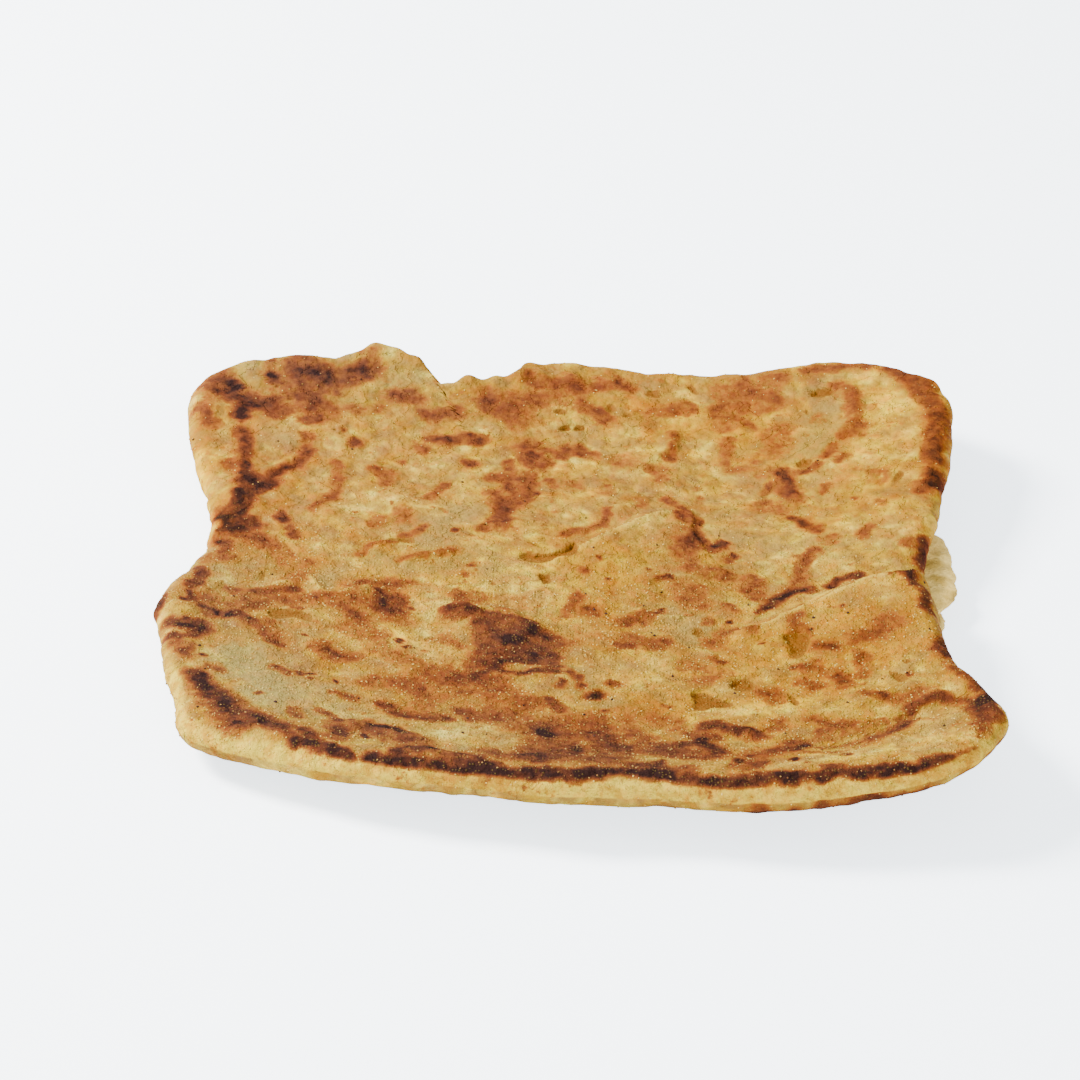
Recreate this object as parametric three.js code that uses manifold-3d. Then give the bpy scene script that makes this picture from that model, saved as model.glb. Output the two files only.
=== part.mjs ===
// A msemen: a square griddle bread of laminated semolina dough. The dough is stretched
// thin, folded into a square packet, pressed flat and browned in a pan on both faces.
// This one has kept the shallow bowl shape that it cooled in, with its corners raised.
// Millimetres, +X to the right, +Y away from the front edge, +Z up.
// The origin is the middle of the part's box, on the surface that the bread rests on.
import * as THREE from "three";
import { mergeVertices } from "three/addons/utils/BufferGeometryUtils.js";
import Module from "manifold-3d";

// ---- driving dimensions ----
const doughThickness = 7.8; // the packet of plies, between its browned faces
const equatorShare = 0.45; // height of the rim's furthest point, as a share of the thickness
const topNose = 6.5; // width of the rounding from the top face to the rim
const undersideNose = 4.5; // width of the rounding from the rim to the underside
const restShare = 0.36; // share of the radius that lies flat on its support
const dishPower = 1.7; // how late the curl of the rim begins
const dishSpread = [-12, -8, -4, 0, 4, 8, 12]; // degrees over which the rim's tears even out
const typicalRadius = 95; // for laying out the rings of the mesh
const panelRings = 16; // rings of the mesh between the centre and the nose
const noseRings = 5; // rings of the mesh over the nose

// ---- the torn square outline: [x, y, lift of the underside at the rim] ----
const frontEdge = [
  [-87, -85, 4], [-76, -93, 5.5], [-46, -103, 8.2], [-8, -107, 9], [22, -105.5, 8.6],
  [38, -106.5, 9.6], [70, -101.8, 11], [84.5, -96, 12.8],
];
const rightEdge = [
  [94, -87, 13.8], [100, -75, 14.6], [97.5, -61, 13.3], [90.3, -41, 9.5], [86, -6, 6],
  [84.5, 10, 6], [89.5, 38, 9], [93, 70, 14],
];
const backEdge = [
  [92.5, 84, 15], [87, 95, 15], [77, 103, 13.5], [64, 107, 10.5], [44, 104.8, 6.5],
  [8, 105.5, 5], [-15, 104.5, 6], [-19.5, 99, 5.6], [-38, 90.5, 5.6], [-42.5, 97, 7.5],
  [-54, 101, 9.2], [-63, 96, 9.2], [-77, 95, 9],
];
const leftEdge = [
  [-89, 90.5, 8], [-97.5, 81.5, 5.5], [-100, 70, 4], [-97.5, 52, 2.5], [-90.2, 24, 1.5],
  [-90.2, 4, 1.5], [-98.4, -24, 2.4], [-96.6, -40, 2.5], [-90.6, -70, 3],
];

// ---- edges of plies that show through the top face: the side to the left of each path
//      stands up by height, eases down over slope, and falls on the other side over drop ----
const plyEdges = [
  {
    name: "front flap",
    path: [
      [100, 2], [88, -1], [78, -2], [69, -3.5], [61, -8.5], [54, -14], [46.5, -18.5],
      [39.5, -22], [31, -28.5],
    ],
    height: 4.2,
    slope: 34,
    drop: 4,
    taper: [0, 0.7],
  },
  {
    name: "middle ply",
    path: [[33, 36], [28, 38.5], [21, 34], [15, 27.5], [9, 20.5], [3, 14.5], [-4, 8], [-10, 2]],
    height: 1.7,
    slope: 22,
    drop: 4,
    taper: [0.35, 0.4],
  },
  {
    name: "inner ply",
    path: [[-1, -25], [-10, -23], [-17, -19], [-25, -18], [-36, -22]],
    height: 1.1,
    slope: 18,
    drop: 4,
    taper: [0.3, 0.3],
  },
  {
    name: "left ply",
    path: [[-46, -7], [-53, -13], [-58, -17], [-63, -11], [-70, -15], [-79, -20]],
    height: 1,
    slope: 14,
    drop: 4,
    taper: [0.3, 0.3],
  },
];

// ---- rolls and valleys along a path across the top face; a valley's height is below 0 ----
const folds = [
  {
    name: "front roll",
    path: [[-84, -66], [-70, -86], [-48, -97], [-14, -101], [16, -98], [40, -101], [88, -88]],
    height: 1.3,
    halfWidth: 7,
  },
  {
    name: "corner crease",
    path: [[98, -66], [90, -63], [78, -66], [68, -75], [54, -85]],
    height: -1.9,
    halfWidth: 5,
  },
  {
    name: "stretch valley",
    path: [[-60, -62], [-30, -72], [0, -70], [34, -80]],
    height: -1.1,
    halfWidth: 13,
  },
  {
    name: "back valley",
    path: [[-64, 64], [-20, 62], [24, 74], [60, 62]],
    height: -1,
    halfWidth: 16,
  },
  {
    name: "left crease",
    path: [[-85, 56], [-84, 36], [-84, 18]],
    height: 0.9,
    halfWidth: 4,
  },
];
const foldTaper = [0.2, 0.2];

// ---- the tongue of a lower ply that shows past the right edge ----
const tongueOutline = [
  [72, 34], [84, 36], [90, 32], [93.2, 23], [93.4, 14], [91.5, 6], [87, 1], [74, 2],
];
const tongueCentre = [83, 18];
const tongueThickness = 4.2;
const tongueHeight = 4.6; // of its edge, above the support
const tonguePanelRings = 3;
const tongueNoseRings = 4;
const tongueNose = 4;
const tongueRadius = 10;

// ---- paths across the top face ----

// How far a point lies from a path, on which side, and beside which share of its length.
// The side is 1 to the left of the direction of travel and -1 to the right.
function nearestOnPath(path, x, y) {
  const legs = path.slice(1).map(([bx, by], i) => {
    const [ax, ay] = path[i];
    return { ax, ay, dx: bx - ax, dy: by - ay, length: Math.hypot(bx - ax, by - ay) };
  });
  const whole = legs.reduce((sum, leg) => sum + leg.length, 0);
  let best = { distance: Infinity };
  let passed = 0;
  for (const { ax, ay, dx, dy, length } of legs) {
    const along = ((x - ax) * dx + (y - ay) * dy) / length ** 2;
    const t = THREE.MathUtils.clamp(along, 0, 1);
    const distance = Math.hypot(x - ax - t * dx, y - ay - t * dy);
    if (distance < best.distance) {
      const side = dx * (y - ay) - dy * (x - ax) < 0 ? -1 : 1;
      best = { distance, side, share: (passed + t * length) / whole };
    }
    passed += length;
  }
  return best;
}

// 1 in the middle of a path, easing to 0 over its first and last shares.
function tapered(share, [start, end]) {
  const rise = start > 0 ? THREE.MathUtils.smoothstep(share, 0, start) : 1;
  const fall = end > 0 ? THREE.MathUtils.smoothstep(1 - share, 0, end) : 1;
  return rise * fall;
}

function bell(distance, halfWidth) {
  return Math.exp(-((distance / halfWidth) ** 2));
}

// Height that the plies' edges and the folds add to the top face.
function relief(x, y) {
  let z = 0;
  for (const edge of plyEdges) {
    const near = nearestOnPath(edge.path, x, y);
    const reach = near.side > 0 ? edge.slope : edge.drop;
    z += edge.height * tapered(near.share, edge.taper) * bell(near.distance, reach);
  }
  for (const fold of folds) {
    const near = nearestOnPath(fold.path, x, y);
    z += fold.height * tapered(near.share, foldTaper) * bell(near.distance, fold.halfWidth);
  }
  return z;
}

// ---- the outline and the bowl ----

// A closed outline about a centre, as a function from an angle to [radius, height].
function radialOutline(points, [centreX, centreY]) {
  const corners = points.map(([x, y, z = 0]) => new THREE.Vector3(x, y, z));
  const curve = new THREE.CatmullRomCurve3(corners, true, "centripetal");
  const samples = curve.getPoints(points.length * 16).slice(1).map((p) => ({
    angle: Math.atan2(p.y - centreY, p.x - centreX),
    values: [Math.hypot(p.x - centreX, p.y - centreY), p.z],
  }));
  samples.sort((a, b) => a.angle - b.angle);
  const first = samples[0];
  const last = samples[samples.length - 1];
  const turn = 2 * Math.PI;
  samples.unshift({ ...last, angle: last.angle - turn });
  samples.push({ ...first, angle: first.angle + turn });
  return (angle) => {
    const i = samples.findIndex((sample) => sample.angle > angle);
    const [before, after] = [samples[i - 1], samples[i]];
    const t = (angle - before.angle) / (after.angle - before.angle);
    return before.values.map((value, k) => THREE.MathUtils.lerp(value, after.values[k], t));
  };
}

const breadCentre = [0, 0];
const breadOutline = radialOutline(
  [...frontEdge, ...rightEdge, ...backEdge, ...leftEdge],
  breadCentre,
);

// The bowl's radius and lift at one angle. Its rim runs smoothly past each tear.
function bowlRim(angle) {
  const near = dishSpread.map((degrees) => {
    const turned = angle + THREE.MathUtils.degToRad(degrees);
    return breadOutline(Math.atan2(Math.sin(turned), Math.cos(turned)));
  });
  return [0, 1].map((k) => near.reduce((sum, rim) => sum + rim[k], 0) / near.length);
}

// A quarter ellipse: 0 at the rim, 1 from the end of the nose inwards.
function nose(inset, width) {
  const t = Math.min(inset / width, 1);
  return Math.sqrt(1 - (1 - t) ** 2);
}

// Heights of the bread's top face and underside at one point.
function breadFaces(x, y) {
  const angle = Math.atan2(y, x);
  const distance = Math.hypot(x, y);
  const inset = Math.max(breadOutline(angle)[0] - distance, 0);
  const [radius, lift] = bowlRim(angle);
  const curl = Math.max((distance / radius - restShare) / (1 - restShare), 0);
  const under = lift * curl ** dishPower;
  const equator = under + equatorShare * doughThickness;
  const top = under + doughThickness + relief(x, y);
  return {
    top: equator + (top - equator) * nose(inset, topNose),
    under: equator - (equator - under) * nose(inset, undersideNose),
  };
}

const tongueRim = radialOutline(tongueOutline, tongueCentre);

// Heights of the tongue's two faces at one point: a lens that thins out only near its edge.
function tongueFaces(x, y) {
  const [offsetX, offsetY] = [x - tongueCentre[0], y - tongueCentre[1]];
  const radius = tongueRim(Math.atan2(offsetY, offsetX))[0];
  const share = Math.min(Math.hypot(offsetX, offsetY) / radius, 1);
  const half = (tongueThickness / 2) * Math.sqrt(1 - share ** 4);
  return { top: tongueHeight + half, under: tongueHeight - half };
}

// ---- meshes ----

// Shares of the radius at which the mesh's rings lie: even across the panel, then closing
// up over the nose as it steepens.
function ringShares(panelCount, noseCount, noseShare) {
  const flat = 1 - noseShare;
  const shares = [];
  for (let i = 0; i <= panelCount; i += 1) {
    shares.push((flat * i) / panelCount);
  }
  for (let i = 1; i <= noseCount; i += 1) {
    shares.push(flat + noseShare * Math.sin((Math.PI / 2) * (i / noseCount)));
  }
  return shares;
}

// A closed pillow. A square grid is laid over the outline ring by ring, once for the top
// face and once for the underside, and merging joins the two along the rim.
function pillow(outline, [centreX, centreY], faces, shares) {
  const rings = shares.length - 1;
  const side = 2 * rings + 1;
  const positions = [];
  const triangles = [];
  for (const face of ["top", "under"]) {
    const start = positions.length / 3;
    for (let cell = 0; cell < side * side; cell += 1) {
      const [column, row] = [(cell % side) - rings, Math.floor(cell / side) - rings];
      const ring = Math.max(Math.abs(column), Math.abs(row));
      const angle = Math.atan2(row, column);
      const distance = outline(angle)[0] * shares[ring];
      const x = centreX + distance * Math.cos(angle);
      const y = centreY + distance * Math.sin(angle);
      positions.push(x, y, faces(x, y)[face]);
      if (column === rings || row === rings) {
        continue;
      }
      const [a, b, c, d] = [cell, cell + 1, cell + side + 1, cell + side].map((i) => start + i);
      // The diagonal runs along the ring, so that no corner of the grid folds over.
      const rising = (column + 0.5) * (row + 0.5) > 0;
      const pair = rising ? [[a, b, d], [b, c, d]] : [[a, b, c], [a, c, d]];
      triangles.push(...pair.flatMap((t) => (face === "top" ? t : [...t].reverse())));
    }
  }
  const geometry = new THREE.BufferGeometry();
  geometry.setAttribute("position", new THREE.Float32BufferAttribute(positions, 3));
  geometry.setIndex(triangles);
  return mergeVertices(geometry, 1e-4);
}

function breadGeometry() {
  const shares = ringShares(panelRings, noseRings, topNose / typicalRadius);
  return pillow(breadOutline, breadCentre, breadFaces, shares);
}

function tongueGeometry() {
  const shares = ringShares(tonguePanelRings, tongueNoseRings, tongueNose / tongueRadius);
  return pillow(tongueRim, tongueCentre, tongueFaces, shares);
}

// ---- joining the tongue to the bread ----
const wasm = await Module();
wasm.setup();

function toSolid(geometry) {
  return new wasm.Manifold(new wasm.Mesh({
    numProp: 3,
    vertProperties: geometry.getAttribute("position").array,
    triVerts: new Uint32Array(geometry.getIndex().array),
  }));
}

function toGeometry(solid) {
  const mesh = solid.getMesh();
  const geometry = new THREE.BufferGeometry();
  geometry.setAttribute("position", new THREE.BufferAttribute(mesh.vertProperties, 3));
  geometry.setIndex(new THREE.BufferAttribute(mesh.triVerts, 1));
  return geometry;
}

function makeMsemen() {
  const crust = new THREE.MeshStandardMaterial({ color: 0xd8b77a, roughness: 0.8, metalness: 0 });
  const solid = toSolid(breadGeometry()).add(toSolid(tongueGeometry()));
  const msemen = new THREE.Mesh(toGeometry(solid), crust);
  msemen.name = "msemen";
  return msemen;
}

const group = new THREE.Group();
group.add(makeMsemen());
export default group;
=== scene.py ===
import itertools
import math

import bpy
import numpy as np
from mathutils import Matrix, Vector


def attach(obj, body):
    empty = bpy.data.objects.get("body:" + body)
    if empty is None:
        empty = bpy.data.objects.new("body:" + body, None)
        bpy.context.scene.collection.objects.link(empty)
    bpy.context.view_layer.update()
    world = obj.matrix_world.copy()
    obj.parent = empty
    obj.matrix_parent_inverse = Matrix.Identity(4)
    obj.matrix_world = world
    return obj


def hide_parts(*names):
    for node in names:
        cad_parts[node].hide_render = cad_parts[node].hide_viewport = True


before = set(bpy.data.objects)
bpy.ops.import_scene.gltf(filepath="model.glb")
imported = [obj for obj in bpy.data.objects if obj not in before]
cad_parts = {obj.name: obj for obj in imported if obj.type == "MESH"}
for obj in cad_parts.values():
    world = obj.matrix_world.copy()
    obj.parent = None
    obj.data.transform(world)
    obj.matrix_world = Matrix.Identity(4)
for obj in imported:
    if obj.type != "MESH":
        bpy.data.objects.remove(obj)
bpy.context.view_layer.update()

# ==== The bread's shape ====
# One packet of laminated semolina dough: oiled, stretched thin, folded to a square, pressed
# out by hand and baked in a pan on both faces. It cooled in a shallow dish, so its corners
# stand up. Sizes here are in millimetres; the mesh is written in metres.
MM = 0.001
dough_thickness = 7.8
equator_share = 0.45
top_nose = 6.5
underside_nose = 4.5
rest_share = 0.36
dish_power = 1.7
dish_spread = (-12, -8, -4, 0, 4, 8, 12)

# The torn square outline: (x, y, lift of the underside at the rim).
front_edge = [
    (-87, -85, 4), (-76, -93, 5.5), (-46, -103, 8.2), (-8, -107, 9), (22, -105.5, 8.6),
    (38, -106.5, 9.6), (70, -101.8, 11), (84.5, -96, 12.8),
]
right_edge = [
    (94, -87, 13.8), (100, -75, 14.6), (97.5, -61, 13.3), (90.3, -41, 9.5), (86, -6, 6),
    (84.5, 10, 6), (89.5, 38, 9), (93, 70, 14),
]
back_edge = [
    (92.5, 84, 15), (87, 95, 15), (77, 103, 13.5), (64, 107, 10.5), (44, 104.8, 6.5),
    (8, 105.5, 5), (-15, 104.5, 6), (-19.5, 99, 5.6), (-38, 90.5, 5.6), (-42.5, 97, 7.5),
    (-54, 101, 9.2), (-63, 96, 9.2), (-77, 95, 9),
]
left_edge = [
    (-89, 90.5, 8), (-97.5, 81.5, 5.5), (-100, 70, 4), (-97.5, 52, 2.5), (-90.2, 24, 1.5),
    (-90.2, 4, 1.5), (-98.4, -24, 2.4), (-96.6, -40, 2.5), (-90.6, -70, 3),
]

# Edges of plies: the side to the left of a path stands up by height, eases down over slope,
# and falls on the other side over drop. Taper is the share of the path that fades in and out.
ply_edges = [
    (4.2, 34, 3.2, (0, 0.7), [(100, 2), (88, -1), (78, -2), (69, -3.5), (61, -8.5), (54, -14),
                              (46.5, -18.5), (39.5, -22), (31, -28.5)]),
    (1.7, 22, 3.2, (0.35, 0.4), [(33, 36), (28, 38.5), (21, 34), (15, 27.5), (9, 20.5),
                                 (3, 14.5), (-4, 8), (-10, 2)]),
    (1.1, 18, 2.5, (0.3, 0.3), [(-1, -25), (-10, -23), (-17, -19), (-25, -18), (-36, -22)]),
    (1.0, 14, 2.5, (0.3, 0.3),
     [(-46, -7), (-53, -13), (-58, -17), (-63, -11), (-70, -15), (-79, -20)]),
]

# Rolls and valleys along a path; a valley's height is below 0.
folds = [
    (1.3, 7, [(-84, -66), (-70, -86), (-48, -97), (-14, -101), (16, -98), (40, -101), (88, -88)]),
    (-1.9, 5, [(98, -66), (90, -63), (78, -66), (68, -75), (54, -85)]),
    (-1.1, 13, [(-60, -62), (-30, -72), (0, -70), (34, -80)]),
    (-1.0, 16, [(-64, 64), (-20, 62), (24, 74), (60, 62)]),
    (0.9, 4, [(-85, 56), (-84, 36), (-84, 18)]),
]

# Small wrinkles and lips that the hand-stretched plies leave: (height, half width, path).
wrinkles = [
    (0.8, 1.6, [(-51.5, 4), (-49, 9), (-45.5, 10.5), (-40, 10)]),
    (0.9, 1.8, [(-43, 1), (-38, 4), (-33, 7), (-28, 10)]),
    (0.7, 1.8, [(-44, 16), (-36, 19), (-26, 22), (-16, 24), (-4, 22)]),
    (0.7, 1.5, [(-64, 24), (-58, 22), (-50, 20)]),
    (0.7, 1.6, [(-32, -20.5), (-25, -20.5), (-17, -21), (-10, -24)]),
    (0.8, 1.6, [(14, -14), (19, -17), (24, -19)]),
    (0.6, 1.6, [(-22, -42), (-12, -45), (-2, -44), (4, -48)]),
    (0.7, 2.2, [(-36, -58), (-24, -61), (-12, -59), (0, -60)]),
    (0.7, 2.2, [(-12, -66), (-4, -70), (6, -68), (12, -70)]),
    (0.6, 2.0, [(28, -72), (34, -69), (40, -72), (46, -74)]),
    (-0.7, 2.0, [(30, -76), (38, -76), (46, -79)]),
    (0.8, 2.4, [(60, -74), (72, -68), (84, -60), (94, -56)]),
    (0.7, 1.8, [(46, -66), (58, -64), (70, -58), (82, -52)]),
    (0.5, 1.6, [(40, -78), (54, -74), (66, -70)]),
    (0.6, 2.0, [(14, 60), (22, 66), (24, 76)]),
    (0.6, 2.2, [(34, 60), (38, 70), (40, 80)]),
    (0.7, 2.4, [(64, 94), (68, 86), (68, 76), (63, 70)]),
    (-0.6, 3.0, [(60, 40), (70, 46), (80, 48)]),
    (0.5, 2.0, [(45, 56), (52, 50), (54, 42)]),
    (0.6, 2.0, [(10, -2), (20, 2), (32, 6), (42, 4)]),
    (-0.5, 2.5, [(14, 8), (24, 12), (30, 16)]),
    (0.6, 2.2, [(-88, -28), (-80, -31), (-72, -36), (-62, -41), (-52, -45)]),
    (-0.8, 3.0, [(-84, -44), (-72, -50), (-60, -52), (-46, -54)]),
    (0.7, 2.2, [(-54, -82), (-44, -82), (-36, -88), (-28, -90)]),
    (0.6, 1.8, [(-32, -97), (-20, -99), (-6, -95), (6, -94), (18, -98)]),
    (0.7, 2.0, [(-70, 52), (-76, 42), (-82, 38)]),
    (0.6, 2.0, [(-40, 74), (-32, 76), (-24, 74)]),
    (0.5, 2.0, [(-18, 64), (-8, 62), (2, 64)]),
]

# Torn edges of the plies: the side to the left of a path steps up by height and eases down
# over fade.
torn_edges = [
    (0.9, 5, [(32, 37), (28, 38.5), (21, 34), (15, 27.5), (9, 20.5), (3, 14.5), (-4, 8.5),
              (-10, 3)]),
    (0.9, 5, [(-6, -25), (-12, -24), (-17, -22.5), (-22, -21.5), (-27, -19.5), (-34, -21)]),
    (0.9, 4, [(-45, -8), (-50, -12), (-56, -17.5), (-60, -17), (-63, -11), (-69, -14),
              (-77, -19)]),
    (0.7, 4, [(-27, 10.5), (-33, 7), (-38, 4), (-44, 1)]),
    (0.7, 4, [(-38, 11), (-45, 10.5), (-49, 9), (-52, 4)]),
    (1.0, 5, [(99, 2), (88, -1), (78, -2), (69, -3.5), (61, -8.5), (54, -14), (46.5, -18.5),
              (39.5, -22), (33, -27)]),
    (0.7, 4, [(26, -16), (20, -17), (14, -13)]),
    (0.6, 4, [(46, -76), (42, -73), (37, -72), (33, -70), (29, -74)]),
    (0.6, 3, [(-60, -27), (-64, -25.5), (-72, -25.5)]),
    (0.5, 4, [(2, -46), (-8, -46.5), (-18, -49), (-24, -50)]),
    (0.5, 4, [(14, 40), (8, 36), (6, 28), (0, 24)]),
    (0.5, 4, [(20, 0), (28, 3), (38, 6)]),
    (0.5, 5, [(12, 52), (18, 58), (23, 68), (24, 78)]),
]

# Puffs of dough along the torn rim, and smaller lumps along the back: (height, radius, x, y).
puffs = [
    (1.6, 5.0, -58, 98), (1.8, 4.5, -51, 99), (1.4, 3.6, -44, 95), (1.2, 4.0, -32, 92),
    (1.8, 4.8, -17, 101), (1.0, 3.6, -4, 103), (0.8, 3.2, 6, 103), (0.8, 4.0, 22, 102),
    (1.0, 4.5, -88, 88), (1.0, 5.0, -94, 66), (0.9, 5.0, 86, -14), (0.9, 4.0, 88, 62),
    (1.0, 5.0, -70, 90), (0.8, 4.0, 52, 104), (0.9, 3.5, -95, -30), (0.9, 4.0, -92, -58),
]
back_lumps = [
    (1.4, 3.0, -55, 101), (1.8, 2.6, -47, 100.5), (2.2, 2.6, -41, 97.5), (1.2, 2.2, -36, 95),
    (1.6, 2.8, -30, 92), (1.5, 2.4, -23, 92.5), (1.8, 2.6, -17, 95), (1.4, 2.2, -12, 96),
    (1.0, 3.0, -4, 96), (0.9, 2.6, 7, 97), (0.9, 3.0, 19, 97), (0.8, 2.4, 30, 98),
]


def eased(low, high, value):
    share = np.clip((value - low) / (high - low), 0, 1)
    return share * share * (3 - 2 * share)


def bell(distance, half_width):
    return np.exp(-((distance / half_width) ** 2))


def soft_noise(x, y, size, seed):
    """Smooth random heights, from -1 to 1, that change over about size millimetres."""
    lattice = np.random.default_rng(seed).uniform(-1, 1, (128, 128))
    turn = seed * 0.7
    u = (x * math.cos(turn) - y * math.sin(turn)) / size + 500
    v = (x * math.sin(turn) + y * math.cos(turn)) / size + 500
    i, j = np.floor(u).astype(int), np.floor(v).astype(int)
    s, t = eased(0, 1, u - i), eased(0, 1, v - j)
    near, far = i % 128, (i + 1) % 128
    low, high = j % 128, (j + 1) % 128
    front = lattice[near, low] * (1 - s) + lattice[far, low] * s
    back = lattice[near, high] * (1 - s) + lattice[far, high] * s
    return front * (1 - t) + back * t


def solid_noise(points, size, seed):
    """Smooth random values in space, from -1 to 1, that change over size millimetres."""
    lattice = np.random.default_rng(seed).uniform(-1, 1, (48, 48, 48))
    turned = points @ np.array([[0.80, 0.36, -0.48], [-0.60, 0.48, -0.64], [0.0, 0.80, 0.60]])
    scaled = turned / size + 480
    cell = np.floor(scaled).astype(int)
    share = eased(0, 1, scaled - cell)
    total = np.zeros(len(points))
    for step in itertools.product((0, 1), repeat=3):
        i, j, k = ((cell + step) % 48).T
        total += lattice[i, j, k] * np.where(step, share, 1 - share).prod(axis=1)
    return total


def closed_curve(points, per_leg=16):
    """Points along a smooth closed curve through the given ones."""
    corners = np.array(points, float)
    count = len(corners)
    curve = []
    for i in range(count):
        p0, p1, p2, p3 = (corners[(i + k) % count] for k in range(-1, 3))
        d0, d1, d2 = (np.linalg.norm(b - a) ** 0.5 for a, b in ((p0, p1), (p1, p2), (p2, p3)))
        t1 = ((p1 - p0) / d0 - (p2 - p0) / (d0 + d1) + (p2 - p1) / d1) * d1
        t2 = ((p2 - p1) / d1 - (p3 - p1) / (d1 + d2) + (p3 - p2) / d2) * d1
        for t in np.arange(per_leg) / per_leg:
            bend = (3 * (p2 - p1) - 2 * t1 - t2) * t * t + (2 * (p1 - p2) + t1 + t2) * t ** 3
            curve.append(p1 + t1 * t + bend)
    return np.array(curve)


def radial_outline(points, centre=(0, 0)):
    """A closed outline about a centre, as a function from angles to radii and lifts."""
    curve = closed_curve(points)
    offset = curve[:, :2] - np.array(centre)
    angles = np.arctan2(offset[:, 1], offset[:, 0])
    order = np.argsort(angles)
    angles, radii = angles[order], np.hypot(offset[:, 0], offset[:, 1])[order]
    lifts = curve[order, 2] if curve.shape[1] > 2 else radii * 0

    def at(angle):
        radius = np.interp(angle, angles, radii, period=2 * math.pi)
        return radius, np.interp(angle, angles, lifts, period=2 * math.pi)

    return at


def near_path(path, x, y):
    """Distance from a path, the side of it (1 is left), and the share of its length."""
    corners = np.array(path, float)
    if len(corners) == 1:
        corners = np.array([corners[0], corners[0] + (0.01, 0)])
    legs = np.hypot(*np.diff(corners, axis=0).T)
    best = np.full(x.shape, np.inf)
    side = np.ones(x.shape)
    share = np.zeros(x.shape)
    passed = 0.0
    for (ax, ay), (bx, by), length in zip(corners[:-1], corners[1:], legs):
        dx, dy = bx - ax, by - ay
        t = np.clip(((x - ax) * dx + (y - ay) * dy) / length ** 2, 0, 1)
        distance = np.hypot(x - ax - t * dx, y - ay - t * dy)
        closer = distance < best
        best = np.where(closer, distance, best)
        side = np.where(closer, np.where(dx * (y - ay) < dy * (x - ax), -1, 1), side)
        share = np.where(closer, (passed + t * length) / legs.sum(), share)
        passed += length
    return best, side, share


def tapered(share, taper):
    rise = eased(0, taper[0], share) if taper[0] > 0 else 1
    fall = eased(0, taper[1], 1 - share) if taper[1] > 0 else 1
    return rise * fall


bread_outline = radial_outline(front_edge + right_edge + back_edge + left_edge)


def rim_wander(angle):
    """Small ins and outs of the rim."""
    u, v = np.cos(angle) * 95, np.sin(angle) * 95
    lumps = 0.45 * soft_noise(u, v, 4, 41) + 0.25 * soft_noise(u, v, 2, 43)
    return 0.5 * soft_noise(u, v, 9, 42) + lumps * (1 + 0.9 * eased(60, 85, v))


def bowl_rim(angle):
    """The bowl's radius and lift at an angle. Its rim runs smoothly past each tear."""
    rims = [bread_outline(angle + math.radians(turn)) for turn in dish_spread]
    return [sum(rim[k] for rim in rims) / len(rims) for k in (0, 1)]


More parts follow.
